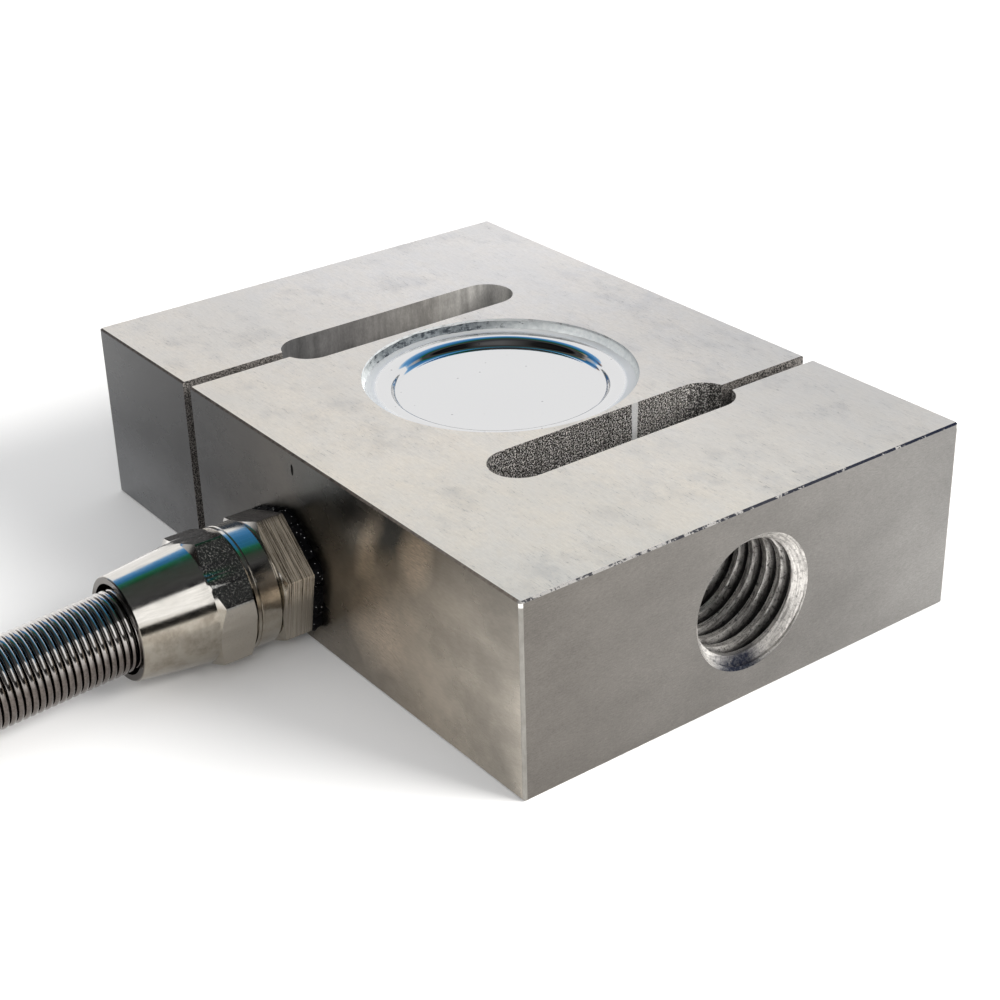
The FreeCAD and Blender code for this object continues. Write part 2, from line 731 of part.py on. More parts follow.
def make_gland_body():
    """The hexagon with its shank in the port and its thread for the cap."""
    body = new_body("gland_body")
    set_in_gland(body)
    add_hexagon(
        body, "body_hexagon", "Sizes.hex_across", GLAND_SEAT, "Sizes.body_hex_length",
        "Sizes.body_turn",
    )
    turn_chamfer(body, "body_chamfer", BODY_HEX_END, "-")
    shank = "Sizes.port_radius - Sizes.thread_gap"
    thread = "Sizes.body_thread_radius"
    inner_end = "-Sizes.shank_length"
    turn(
        body,
        "Revolution",
        "body_turned_part",
        [
            ("0", inner_end),
            (f"{shank} - Sizes.gland_edge", inner_end),
            (shank, f"{inner_end} + Sizes.gland_edge"),
            (shank, GLAND_SEAT),
            (thread, GLAND_SEAT),
            (thread, f"{BODY_END} - Sizes.gland_edge"),
            (f"{thread} - Sizes.gland_edge", BODY_END),
            ("0", BODY_END),
        ],
    )
    bore = "Sizes.body_bore_radius"
    chamber = "Sizes.chamber_radius"
    turn(
        body,
        "Groove",
        "body_bore",
        [
            ("0", f"{inner_end} - Sizes.cut_over"),
            (bore, f"{inner_end} - Sizes.cut_over"),
            (bore, BODY_HEX_END),
            (chamber, BODY_HEX_END),
            (chamber, f"{BODY_END} + Sizes.cut_over"),
            ("0", f"{BODY_END} + Sizes.cut_over"),
        ],
    )


def make_grommet():
    """The rubber sleeve that the cap presses round the cable."""
    body = new_body("gland_grommet")
    set_in_gland(body)
    hole = "Sizes.cable_radius + Sizes.grip_gap"
    outside = "Sizes.chamber_radius - Sizes.end_gap"
    flange = "Sizes.body_thread_radius - Sizes.thread_gap"
    foot = f"{BODY_HEX_END} + Sizes.end_gap"
    flange_foot = f"{BODY_END} + Sizes.end_gap"
    turn(
        body,
        "Revolution",
        "grommet_rubber",
        [
            (hole, foot),
            (f"{outside} - Sizes.gland_edge", foot),
            (outside, f"{foot} + Sizes.gland_edge * 2"),
            (outside, flange_foot),
            (flange, flange_foot),
            (flange, FLANGE_END),
            (hole, FLANGE_END),
        ],
    )


def make_clamp_ring():
    """The plain ring between the grommet and the cap's inner lip."""
    body = new_body("gland_clamp_ring")
    set_in_gland(body)
    outside = "Sizes.body_thread_radius - Sizes.thread_gap"
    turn(
        body,
        "Revolution",
        "clamp_ring_metal",
        [
            ("Sizes.clamp_bore_radius", RING_START),
            (outside, RING_START),
            (outside, RING_END),
            ("Sizes.clamp_bore_radius", RING_END),
        ],
    )


def make_gland_cap():
    """A skirt with a fine line, a hexagon and a tapered nose, bored out in steps."""
    body = new_body("gland_cap")
    set_in_gland(body)
    add_hexagon(
        body, "cap_hexagon", "Sizes.hex_across", CAP_HEX_START, "Sizes.cap_hex_length",
        "Sizes.cap_turn",
    )
    turn_chamfer(body, "cap_back_chamfer", CAP_HEX_START, "+")
    turn_chamfer(body, "cap_front_chamfer", CAP_HEX_END, "-")
    skirt = "Sizes.cap_skirt_radius"
    line_floor = f"{skirt} - Sizes.cap_line_depth"
    line_middle = f"{CAP_HEX_START} - Sizes.cap_line_place"
    break_mm = "Sizes.cap_line_depth"
    turn(
        body,
        "Revolution",
        "cap_turned_part",
        [
            ("0", SKIRT_START),
            (f"{skirt} - {break_mm}", SKIRT_START),
            (skirt, f"{SKIRT_START} + {break_mm}"),
            (skirt, f"{line_middle} - {break_mm}"),
            (line_floor, line_middle),
            (skirt, f"{line_middle} + {break_mm}"),
            (skirt, CAP_HEX_START),
            ("Sizes.hex_face_radius", CAP_HEX_START),
            ("Sizes.hex_face_radius", f"{CAP_HEX_END} - {break_mm}"),
            ("Sizes.nose_root_radius", CAP_HEX_END),
            ("Sizes.nose_tip_radius", NOSE_END),
            ("0", NOSE_END),
        ],
    )
    thread = "Sizes.body_thread_radius + Sizes.thread_gap"
    turn(
        body,
        "Groove",
        "cap_bore",
        [
            ("0", f"{SKIRT_START} - Sizes.cut_over"),
            (thread, f"{SKIRT_START} - Sizes.cut_over"),
            (thread, LIP_START),
            ("Sizes.lip_radius", LIP_START),
            ("Sizes.lip_radius", LIP_END),
            ("Sizes.nose_bore_radius", LIP_END),
            ("Sizes.nose_bore_radius", f"{NOSE_END} + Sizes.cut_over"),
            ("0", f"{NOSE_END} + Sizes.cut_over"),
        ],
    )


def make_spring_guard():
    """A close-wound coil of flat wire, turned as one sleeve with a groove a turn."""
    length = size("guard_length")
    turns = round(length / size("guard_pitch"))
    pitch = length / turns
    outside = size("guard_radius")
    inside = outside - size("guard_wire")
    notch = outside - size("guard_notch")
    points = [Vector(inside, 0, 0), Vector(notch, 0, 0)]
    for number in range(turns):
        points.append(Vector(outside, 0, pitch * (number + 0.5)))
        points.append(Vector(notch, 0, pitch * (number + 1)))
    points.append(Vector(inside, 0, length))
    outline = Part.Face(Part.makePolygon(points + points[:1]))
    guard = doc.addObject("Part::Feature", "spring_guard")
    guard.Shape = outline.revolve(Vector(), Vector(0, 0, 1), FULL_TURN)
    droop = math.radians(size("guard_droop"))
    out_of_block = value(NOSE_END) - size("guard_root")
    rise = (size("guard_root") - size("guard_pivot")) * math.tan(droop)
    root = Vector(
        0, -size("block_width") / 2 - out_of_block, size("gland_height") + rise
    )
    lie = Rotation(Vector(1, 0, 0), QUARTER_TURN + size("guard_droop"))
    guard.Placement = Placement(root, lie)
    keep(guard, "spring_guard")


# The cable, its coil and its open end

def rounded_path(points, share=0.45):
    """Straight runs joined by tangent arcs, and the radii of those arcs."""
    edges = []
    radii = []
    start = points[0]
    for before, corner, after in zip(points, points[1:], points[2:]):
        come = (corner - before).normalize()
        go = (after - corner).normalize()
        half = come.getAngle(go) / 2
        cut = share * min((corner - before).Length, (after - corner).Length)
        radius = cut / math.tan(half)
        inwards = (go - come).normalize()
        top = corner + inwards * (radius / math.cos(half) - radius)
        edges.append(Part.LineSegment(start, corner - come * cut).toShape())
        edges.append(
            Part.Arc(corner - come * cut, top, corner + go * cut).toShape()
        )
        start = corner + go * cut
        radii.append(radius)
    edges.append(Part.LineSegment(start, points[-1]).toShape())
    return Part.Wire(edges), radii


def tube_along(points, radius):
    """A round solid along a path, with its volume held against section by length."""
    points = [Vector(*p) for p in points]
    path, radii = rounded_path(points)
    circle = Part.Circle(points[0], points[1] - points[0], radius)
    sweep = Part.BRepOffsetAPI.MakePipeShell(path)
    sweep.add(Part.Wire([circle.toShape()]))
    sweep.build()
    sweep.makeSolid()
    solid = sweep.shape()
    expected = math.pi * radius ** 2 * path.Length
    if abs(solid.Volume / expected - 1) > 0.01:
        raise RuntimeError(f"tube volume {solid.Volume:.2f}, expected {expected:.2f}")
    return solid, path.Length, radii


def out_of_side(distance, height):
    """A point straight out from the gland's side of the block."""
    return 0.0, -size("block_width") / 2 - distance, height


def coil_middle():
    """The middle of the coil, so that the cable runs straight into its outer turn."""
    _, end_y, _ = out_of_side(*CABLE_ROUTE[-1])
    return -size("coil_outer_turn"), end_y - size("coil_lead")


def make_cable():
    """The jacketed cable from inside the port, through the guard, to the coil."""
    height = size("gland_height")
    inside = [(JACKET_END, height), (DROOP_START, height)]
    route = [out_of_side(*point) for point in inside + CABLE_ROUTE]
    solid, length, radii = tube_along(route, size("cable_radius"))
    cable = doc.addObject("Part::Feature", "cable")
    cable.Shape = solid
    keep(cable, "cable")
    print("cable arcs, mm:", [round(r, 1) for r in radii])
    rings = [
        size("coil_outer_turn") - size("coil_pitch") * column
        for column in range(int(size("coil_columns")))
    ]
    layers = int(size("coil_layers"))
    turned = 2 * math.pi * (sum(rings) * layers - rings[0])
    whole = length + size("coil_lead") + turned
    print(f"cable length {whole / 1000:.3f} m, of which {length:.1f} mm uncoiled")


def make_coil():
    """The outer shape of the coiled cable, with a straight piece that leads into it."""
    body = new_body("cable_coil")
    body.Placement = Placement(Vector(*coil_middle(), 0), Rotation())
    radius = "Sizes.cable_radius"
    outer = f"Sizes.coil_outer_turn + {radius}"
    width = "(Sizes.coil_columns - 1) * Sizes.coil_pitch"
    inner = f"Sizes.coil_outer_turn - {width} - {radius}"
    step = f"{outer} - Sizes.coil_pitch"
    top = f"2 * {radius} * Sizes.coil_layers"
    shoulder = f"2 * {radius} * (Sizes.coil_layers - 1)"
    corner = f"{radius} / 2"
    turn(
        body,
        "Revolution",
        "coil_ring",
        [
            (inner, corner),
            (f"{inner} + {corner}", "0"),
            (f"{outer} - {corner}", "0"),
            (outer, corner),
            (outer, f"{shoulder} - {corner}"),
            (f"{outer} - {corner}", shoulder),
            (step, shoulder),
            (step, f"{top} - {corner}"),
            (f"{step} - {corner}", top),
            (f"{inner} + {corner}", top),
            (inner, f"{top} - {corner}"),
        ],
    )
    lead = new_sketch(body, "coil_lead_outline", "XZ_Plane")
    add_circle(lead, "Sizes.coil_outer_turn", radius, radius)
    extrude(body, "Pad", "coil_lead", lead, "Sizes.coil_lead", backwards=True)


def coil_point(angle, radius, height):
    """A point over the coil, with its angle going the way that the cable is wound."""
    middle_x, middle_y = coil_middle()
    turned = math.radians(-angle)
    return (
        middle_x + radius * math.cos(turned),
        middle_y + radius * math.sin(turned),
        height,
    )


def make_cable_end():
    """The shrunk sleeve, the four cores and the drain wire, lying on the coil's step."""
    gap = size("sleeve_gap")
    shelf = 2 * size("cable_radius") * (size("coil_layers") - 1)
    sleeve_ring = size("coil_outer_turn") + size("sleeve_radius") - size("cable_radius")
    sleeve_ring += gap
    sleeve_height = shelf + size("sleeve_radius") + gap
    sleeve = keep(doc.addObject("Part::Torus", "end_sleeve"), "end_sleeve")
    spin = Rotation(Vector(0, 0, 1), -size("sleeve_angle"))
    sleeve.Placement = Placement(Vector(*coil_middle(), sleeve_height), spin)
    sleeve.Angle1 = -HALF_TURN
    sleeve.Angle2 = HALF_TURN
    bind(
        sleeve,
        Radius1="Sizes.coil_outer_turn + Sizes.sleeve_radius - Sizes.cable_radius"
        " + Sizes.sleeve_gap",
        Radius2="Sizes.sleeve_radius",
        Angle3="Sizes.sleeve_angle * 1 deg",
    )
    radius = size("core_radius")
    apart = radius + gap / 2
    inner_wall = sleeve_ring - size("sleeve_radius") - size("coil_pitch") + 2 * gap
    inner_wall += size("cable_radius") * 2
    lane = inner_wall + apart + radius
    level = shelf + radius + gap
    places = {
        "red": (-apart, 0.0),
        "black": (apart, 0.0),
        "green": (-apart, 2 * apart),
        "white": (apart, 2 * apart),
    }
    for colour, (side, lift) in places.items():
        start = (sleeve_ring + side, sleeve_height - apart + lift)
        rest = (lane + side, level + lift)
        route = end_route(start, rest, CORE_BENDS)
        route.append(coil_point(size("sleeve_angle") + CORE_ENDS[colour], *rest))
        add_tube(f"core_{colour}", route, radius)
    thin = size("drain_radius")
    out, up = DRAIN_START
    start = (sleeve_ring + out, sleeve_height + up)
    rest = (lane + apart + radius + thin + gap, shelf + thin + gap)
    add_tube("drain_wire", end_route(start, rest, DRAIN_BENDS), thin)


def end_route(start, rest, bends):
    """A wire's way out of the sleeve and along the coil, to where it lies at rest."""
    first = size("sleeve_angle")
    ring, height = rest
    route = [coil_point(first + CORE_START, *start)]
    for angle, out, up in bends:
        route.append(coil_point(first + angle, ring + out, height + up))
    return route


def add_tube(label, route, radius):
    """A thin wire with mitred bends, as a sub-part of its own."""
    wire = doc.addObject("Part::Feature", label)
    wire.Shape = mitred_tube(route, radius)
    keep(wire, label)


def mitred_tube(points, radius):
    """A thin wire that bends sharply from one straight run to the next."""
    points = [Vector(*p) for p in points]
    path = Part.makePolygon(points)
    circle = Part.Circle(points[0], points[1] - points[0], radius)
    sweep = Part.BRepOffsetAPI.MakePipeShell(path)
    sweep.add(Part.Wire([circle.toShape()]))
    sweep.setTransitionMode(1)
    sweep.build()
    sweep.makeSolid()
    return sweep.shape()


# Thin wires inside the pockets

def make_wires(label, routes, radius):
    """Some wires of one kind, as separate solids in one node."""
    wires = doc.addObject("Part::Feature", label)
    wires.Shape = Part.Compound([mitred_tube(route, radius) for route in routes])
    keep(wires, label)


def make_inner_wiring():
    """The cable's cores to the board, and the lead wires of both gauges."""
    web_foot = (size("block_thick") - size("web_thick")) / 2
    web_top = web_foot + size("web_thick")
    board_foot = web_foot - size("board_thick") - size("pad_thick")
    row = size("board_length") / 2 - size("pad_size")
    pads = -size("board_back") - size("board_width") / 4
    make_inner_cores(board_foot, row, pads)
    lead = size("lead_radius")
    soldered = lead + size("solder_gap")
    loop = size("lead_loop")
    on_gauge = size("lead_overlap")
    far = size("gauge_length") / 2
    hole_x = size("web_hole_side")
    hole_y = -size("web_hole_back")
    upper = []
    for side in (-1, 1):
        shift = side * size("lead_apart") / 2
        in_hole = (hole_x + shift, hole_y + loop / 3)
        upper.append(
            [
                (far - on_gauge, shift * 4, web_top + size("backing_thick") + soldered),
                (far + on_gauge * 4, shift * 3, web_top + loop),
                (*in_hole, web_top + loop),
                (*in_hole, web_foot - loop),
                (row + shift / 2, pads + loop, board_foot - soldered),
            ]
        )
    make_wires("upper_gauge_leads", upper, lead)
    near = -size("gauge_width") / 2
    lower = []
    for side in (-1, 1):
        across = side * row / 2
        lower.append(
            [
                (across, near + on_gauge, web_foot - size("backing_thick") - soldered),
                (across, near - loop, web_foot - size("board_thick") - loop),
                (across, pads + loop, board_foot - soldered),
            ]
        )
    make_wires("lower_gauge_leads", lower, lead)


def make_inner_cores(board_foot, row, pads):
    """The cable's four cores, from the jacket's end through the wire way to the board."""
    core = size("inner_core_radius")
    way = size("gland_height")
    pocket = size("dish_mouth_radius") + size("cover_sheet") + size("pocket_gap")
    solder = board_foot - core
    _, jacket_end, _ = out_of_side(JACKET_END, way)
    routes = []
    for across, up, pad in INNER_CORES:
        x = across * core
        z = way + up * core
        routes.append(
            [
                (x, jacket_end + size("thread_gap"), z),
                (x, core - pocket, z),
                (pad * row, pads, solder),
            ]
        )
    make_wires("inner_cores", routes, core)


def check_and_write():
    """Stops if anything in the document failed, and writes one file a sub-part."""
    doc.recompute()
    for thing in doc.Objects:
        states = [str(state) for state in thing.State]
        if "Invalid" in states or "Error" in states:
            raise RuntimeError(f"{thing.Name} failed: {states}")
    for thing in pieces:
        if thing.Shape.isNull() or not thing.Shape.isValid():
            raise RuntimeError(f"{thing.Label} has no valid shape")
    os.makedirs("parts", exist_ok=True)
    for thing in pieces:
        thing.Shape.exportStep(f"parts/{thing.Label}.step")
        print(
            f"{thing.Label}: {len(thing.Shape.Solids)} solid,"
            f" {thing.Shape.Volume:.1f} mm3"
        )


fill_sheet()
make_block()
make_cover("cover_top", True)
make_cover("cover_bottom", False)
make_bead("cover_bead_top", True)
make_bead("cover_bead_bottom", False)
make_gauge("strain_gauge_upper", True)
make_gauge("strain_gauge_lower", False)
make_coating("gauge_coating_upper", True)
make_coating("gauge_coating_lower", False)
make_terminal_board()
make_resistor("balance_resistor", -1)
make_resistor("span_resistor", 1)
make_inner_wiring()
make_gland_seal()
make_gland_body()
make_grommet()
make_clamp_ring()
make_gland_cap()
make_spring_guard()
make_cable()
make_coil()
make_cable_end()
check_and_write()
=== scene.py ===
import math

import bmesh
import bpy
from mathutils import Matrix, Vector, noise


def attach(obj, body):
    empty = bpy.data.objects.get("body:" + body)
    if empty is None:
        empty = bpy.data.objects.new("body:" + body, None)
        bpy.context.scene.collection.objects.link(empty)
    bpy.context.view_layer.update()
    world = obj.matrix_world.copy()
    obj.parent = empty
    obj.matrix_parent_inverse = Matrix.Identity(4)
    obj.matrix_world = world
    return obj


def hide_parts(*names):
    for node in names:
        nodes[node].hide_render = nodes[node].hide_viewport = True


# S type load cell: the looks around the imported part. All lengths in this file are written
# in millimetres of the part's own frame and turned into metres by MM.

MM = 0.001

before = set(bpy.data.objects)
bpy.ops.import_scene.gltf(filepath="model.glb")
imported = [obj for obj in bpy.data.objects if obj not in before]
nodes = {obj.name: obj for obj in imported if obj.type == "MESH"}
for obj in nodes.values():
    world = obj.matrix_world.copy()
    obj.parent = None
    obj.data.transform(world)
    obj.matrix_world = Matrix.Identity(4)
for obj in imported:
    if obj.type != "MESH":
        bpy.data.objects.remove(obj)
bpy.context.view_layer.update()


# Sizes that the pieces share, in millimetres

BLOCK = Vector((100.0, 70.0, 26.5))
# The slots' middles: the first opens to the gland's side and the second to the far side
SLOTS = ((-24.0, 0.0), (23.45, 0.6))
SLOT_HALF_WIDTH = 4.1
SLOT_HALF_LENGTH = 19.4
SLIT_HALF_WIDTH = 1.025
TAP_MOUTH = 9.13
SEAT = 18.85
CORNER_ROUND = 0.44
GLAND_Z = 8.95
SIDE_Y = -BLOCK.y / 2
CABLE_R = 2.5


# Small helpers for pieces

def placed(name, data):
    """A new object in the scene."""
    made = bpy.data.objects.new(name, data)
    bpy.context.scene.collection.objects.link(made)
    return made


def new_piece(name, data, material=None):
    """A piece that rides on the part's one body."""
    piece = placed(name, data)
    if material is not None:
        data.materials.append(material)
    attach(piece, "root")
    return piece


def whole_piece(name, node, points, faces, sharp_angle, material):
    """A piece from its points and faces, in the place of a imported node."""
    mesh = mesh_from(name, points, faces)
    clean_up(mesh)
    smooth(mesh, sharp_angle)
    piece = new_piece(name, mesh, material)
    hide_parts(node)
    return piece


def smooth(mesh, angle):
    """Smooth shading, with the edges that are sharper than an angle left sharp."""
    mesh.shade_smooth()
    mesh.set_sharp_from_angle(angle=math.radians(angle))


def mesh_from(name, points, faces):
    """A mesh from points in millimetres and lists of their numbers."""
    mesh = bpy.data.meshes.new(name)
    mesh.from_pydata([Vector(p) * MM for p in points], [], faces)
    mesh.update()
    return mesh


def clean_up(mesh, merged=True):
    """Turns all faces outwards, and as a rule merges the points that meet."""
    form = bmesh.new()
    form.from_mesh(mesh)
    if merged:
        loose = [v for v in form.verts if not v.link_faces]
        bmesh.ops.delete(form, geom=loose, context="VERTS")
        bmesh.ops.remove_doubles(form, verts=form.verts, dist=1e-7)
    bmesh.ops.recalc_face_normals(form, faces=form.faces)
    form.to_mesh(mesh)
    form.free()


def apply_modifiers(piece):
    """Puts the mesh that the modifiers make in the place of the piece's own."""
    graph = bpy.context.evaluated_depsgraph_get()
    made = bpy.data.meshes.new_from_object(piece.evaluated_get(graph))
    piece.modifiers.clear()
    piece.data = made
    return made


def grid_faces(rows, across, round_rows=False, round_across=False):
    """Quads between rows of points; either way, the last can join the first again."""
    faces = []
    for row in range(rows if round_rows else rows - 1):
        low, high = row * across, (row + 1) % rows * across
        for step in range(across if round_across else across - 1):
            after = (step + 1) % across
            faces.append((low + step, low + after, high + after, high + step))
    return faces


def end_faces(rows, across):
    """The first and the last row of points, each as one face."""
    return [tuple(range(start, start + across)) for start in (0, (rows - 1) * across)]


def full_turn(steps):
    """The angles of so many equal steps once round."""
    return [2 * math.pi * step / steps for step in range(steps)]


def clamped(share):
    return min(max(share, 0.0), 1.0)


# Materials

class Shader:
    """A Principled material built up from nodes; textures lie in the part's own space.

    Where a colour is asked for, a single number is a grey.
    """

    def __init__(self, name, colour, roughness, metallic=1.0):
        self.material = bpy.data.materials.new(name)
        self.material.use_nodes = True
        self.tree = self.material.node_tree
        self.shader = self.tree.nodes["Principled BSDF"]
        self.set("Base Color", colour)
        self.set("Roughness", roughness)
        self.set("Metallic", metallic)

    def join(self, given, socket):
        """Feeds a socket from the output of a node, or with a fixed value."""
        if isinstance(given, bpy.types.NodeSocket):
            self.tree.links.new(given, socket)
        elif socket.type == "RGBA":
            shades = given if isinstance(given, tuple) else (given,) * 3
            socket.default_value = (*shades, 1.0)
        else:
            socket.default_value = given

    def set(self, name, given):
        self.join(given, self.shader.inputs[name])

    def add(self, kind, settings=None, **inputs):
        made = self.tree.nodes.new(kind)
        for name, given in (settings or {}).items():
            setattr(made, name, given)
        for name, given in inputs.items():
            self.join(given, made.inputs[name.replace("_", " ")])
        return made

    def vectors(self, operation, first, second=None):
        """Vector maths: an operation on one vector or on two."""
        made = self.add("ShaderNodeVectorMath", {"operation": operation})
        self.join(first, made.inputs[0])
        if second is not None:
            self.join(second, made.inputs[1])
        return made.outputs["Value" if operation == "LENGTH" else "Vector"]

    def place(self, per_mm=1.0, turn=(0, 0, 0), shift=(0, 0, 0)):
        """Object coordinates, with so many texture units to a millimetre along X, Y, Z."""
        where = self.add("ShaderNodeTexCoord").outputs["Object"]
        three = per_mm if isinstance(per_mm, tuple) else (per_mm,) * 3
        mapping = self.add("ShaderNodeMapping", Vector=where, Scale=[part / MM for part in three])
        mapping.inputs["Rotation"].default_value = [math.radians(a) for a in turn]
        mapping.inputs["Location"].default_value = shift
        return mapping.outputs["Vector"]

    def noise(self, per_mm, detail=3, rough=0.55, turn=(0, 0, 0), shift=(0, 0, 0)):
        vector = self.place(per_mm, turn, shift)
        texture = self.add(
            "ShaderNodeTexNoise", Vector=vector, Scale=1, Detail=detail, Roughness=rough
        )
        return texture.outputs["Fac"]

    def cells(self, per_mm):
        texture = self.add("ShaderNodeTexVoronoi", Vector=self.place(per_mm), Scale=1)
        return texture.outputs["Distance"]

    def along(self, axis, low, high, held=True):
        """How far along an axis a point is, as 0 at one place and 1 at another."""
        where = self.add("ShaderNodeTexCoord").outputs["Object"]
        split = self.add("ShaderNodeSeparateXYZ", Vector=where)
        return self.span(split.outputs[axis], low * MM, high * MM, 0, 1, held)

    def span(self, value, low, high, to_low=0, to_high=1, held=True):
        """A value's range moved onto another range, and as a rule held inside it."""
        made = self.add("ShaderNodeMapRange", {"clamp": held}, Value=value)
        limits = {"From Min": low, "From Max": high, "To Min": to_low, "To Max": to_high}
        for name, given in limits.items():
            self.join(given, made.inputs[name])
        return made.outputs["Result"]

    def maths(self, operation, first, second=0):
        made = self.add("ShaderNodeMath", {"operation": operation})
        self.join(first, made.inputs[0])
        self.join(second, made.inputs[1])
        return made.outputs[0]

    def times(self, first, second):
        return self.maths("MULTIPLY", first, second)

    def plus(self, first, second):
        return self.maths("ADD", first, second)

    def minus(self, first, second):
        return self.maths("SUBTRACT", first, second)

    def mix(self, share, first, second, how="MIX"):
        """Two colours mixed, by a share that is a number or a socket."""
        made = self.add("ShaderNodeMix", {"data_type": "RGBA", "blend_type": how})
        for place, given in ((0, share), (6, first), (7, second)):
            self.join(given, made.inputs[place])
        return made.outputs[2]

    def blend(self, value, low, high, first, second):
        """One colour up to a value's lower limit, and another from its upper limit on."""
        return self.mix(self.span(value, low, high), first, second)

    def ramp(self, value, stops):
        """Colours blended along a value, each at its own place between 0 and 1."""
        made = self.add("ShaderNodeValToRGB", Fac=value)
        elements = made.color_ramp.elements
        while len(elements) < len(stops):
            elements.new(1.0)
        for element, (place, colour) in zip(elements, stops):
            element.position = place
            element.color = (*(colour if isinstance(colour, tuple) else (colour,) * 3), 1.0)
        return made.outputs["Color"]

    def patch(self, middle, reach, ragged, lean):
        """A soft spot: 1 in its middle, falling to 0 at its reach along X, Y and Z.

        It is sheared, so that its top sits further along X than its foot.
        """
        shift = [-place / size for place, size in zip(middle, reach)]
        near = self.place(tuple(1 / size for size in reach), shift=shift)
        height = self.add("ShaderNodeSeparateXYZ", Vector=near).outputs["Z"]
        across = self.times(height, -lean * reach[2] / reach[0])
        sheared = self.vectors(
            "ADD", near, self.add("ShaderNodeCombineXYZ", X=across).outputs["Vector"]
        )
        soft = self.noise(0.16, 1, 0.4)
        edge = self.span(soft, 0.3, 0.7, -ragged, ragged)
        return self.span(self.plus(self.vectors("LENGTH", sheared), edge), 0.25, 1, 1, 0)

    def shade(self, colour, factor):
        """A colour made darker or lighter by a number or a socket."""
        made = self.add("ShaderNodeVectorMath", {"operation": "SCALE"}, Scale=factor)
        self.join(colour, made.inputs[0])
        return made.outputs["Vector"]

    def vary(self, colour, value, low, high, dark, light):
        """A colour shaded by how a value goes from one limit to the other."""
        return self.shade(colour, self.span(value, low, high, dark, light))

    def bump(self, height, depth_mm, strength):
        made = self.add(
            "ShaderNodeBump", Height=height, Strength=strength, Distance=depth_mm * MM
        )
        if self.shader.inputs["Normal"].is_linked:
            self.join(self.shader.inputs["Normal"].links[0].from_socket, made.inputs["Normal"])
        self.set("Normal", made.outputs["Normal"])

    def done(self, colour, height=None, depth_mm=0.0, strength=0.5):
        """The finished material, with its colour and its relief."""
        self.set("Base Color", colour)
        if height is not None:
            self.bump(height, depth_mm, strength)
        return self.material


# Painted light and painted shade in areas of the broad faces: where each sets in and is full
# along X, the same along Y, and its factor
BROAD_PAINTED_LIGHT = [
    ((-5, -35), (0, 25), 1.08),
    ((-28, 0), (5, 28), 0.86),
    ((15, -20), (5, -20), 0.93),
]


def ground_steel():
    """The broad faces: ground along X, with fine hatching, short ticks, smudges and painted light and
    shade.
    """
    s = Shader("ground_steel", (0.80, 0.76, 0.71), 0.32)
    hatch = s.noise((0.60, 6, 1), 5, 0.8)
    cross = s.noise((1.5, 3, 1), 5, 0.8, (0, 0, 12), (5, 3, 0))
    ticks = s.noise((0.8, 5, 1), 4, 0.8, shift=(40, 11, 0))
    stains = s.noise((0.12, 0.18, 0.05), 6, 0.70, (0, 0, 12), (3.1, 7.7, 0))
    cloud = s.noise((0.035, 0.05, 0.05), 4, 0.6, shift=(9, 2, 0))
    mottle = s.noise((0.20, 0.30, 0.05), 5, 0.65, shift=(1, 6, 0))
    strokes = s.times(s.span(hatch, 0.34, 0.66, -1, 1), s.span(cloud, 0.35, 0.62, 0.45, 1))
    colour = s.blend(strokes, -1, 1, (0.69, 0.65, 0.60), (0.88, 0.84, 0.785))
    colour = s.vary(colour, cross, 0.3, 0.7, 0.88, 1.12)
    cool_warm = s.blend(mottle, 0.38, 0.60, (0.975, 0.982, 0.995), (1.012, 1.0, 0.982))
    colour = s.mix(1, colour, cool_warm, "MULTIPLY")
    colour = s.mix(s.span(cloud, 0.40, 0.62, 0, 0.55), colour, (0.71, 0.685, 0.65))
    smudged = s.times(s.span(stains, 0.52, 0.68), s.span(cross, 0.38, 0.60, 0.25, 1))
    colour = s.mix(s.times(smudged, 0.40), colour, (0.34, 0.34, 0.355))
    marked = s.times(s.span(stains, 0.42, 0.60, 0.25, 1), 0.75)
    colour = s.mix(s.times(s.span(ticks, 0.58, 0.66), marked), colour, (0.26, 0.25, 0.24))
    # Painted light and shade: each area makes the colour lighter or darker by its factor.
    for along_x, along_y, factor in BROAD_PAINTED_LIGHT:
        area = s.times(s.along("X", *along_x), s.along("Y", *along_y))
        colour = s.vary(colour, area, 0, 1, 1, factor)
    # Painted reflection tint: cooler towards the far corner, warmer towards the near one.
    near = s.plus(s.along("X", -50, 50), s.along("Y", 35, -35))
    tint = s.blend(near, 0.5, 1.6, (1.03, 1.03, 1.06), (1.15, 1.09, 1.00))
    s.set("Roughness", s.span(cross, 0.30, 0.70, 0.28, 0.37))
    return s.done(s.mix(1, colour, tint, "MULTIPLY"), s.plus(hatch, s.times(cross, 0.8)), 0.006)


# Painted shade in dark patches and painted reflection in light patches on the gland's side:
# where each is, and its reach along X, Y, Z
SIDE_PAINTED_SHADES = [
    ((10.5, SIDE_Y, 21.5), (12.5, 40.0, 13.0)),
    ((24.6, SIDE_Y, 24.5), (4.2, 40.0, 6.0)),
]
SIDE_PAINTED_GLEAMS = [
    ((21.0, SIDE_Y, 11.0), (8.5, 40.0, 9.0)),
    ((19.6, SIDE_Y, 20.5), (2.6, 40.0, 7.0)),
    ((29.6, SIDE_Y, 22.5), (3.4, 40.0, 7.0)),
]
# How far these patches lean along X for each millimetre of height, and how ragged they are
SIDE_LEAN = 0.39
SIDE_RAGGED = 0.25


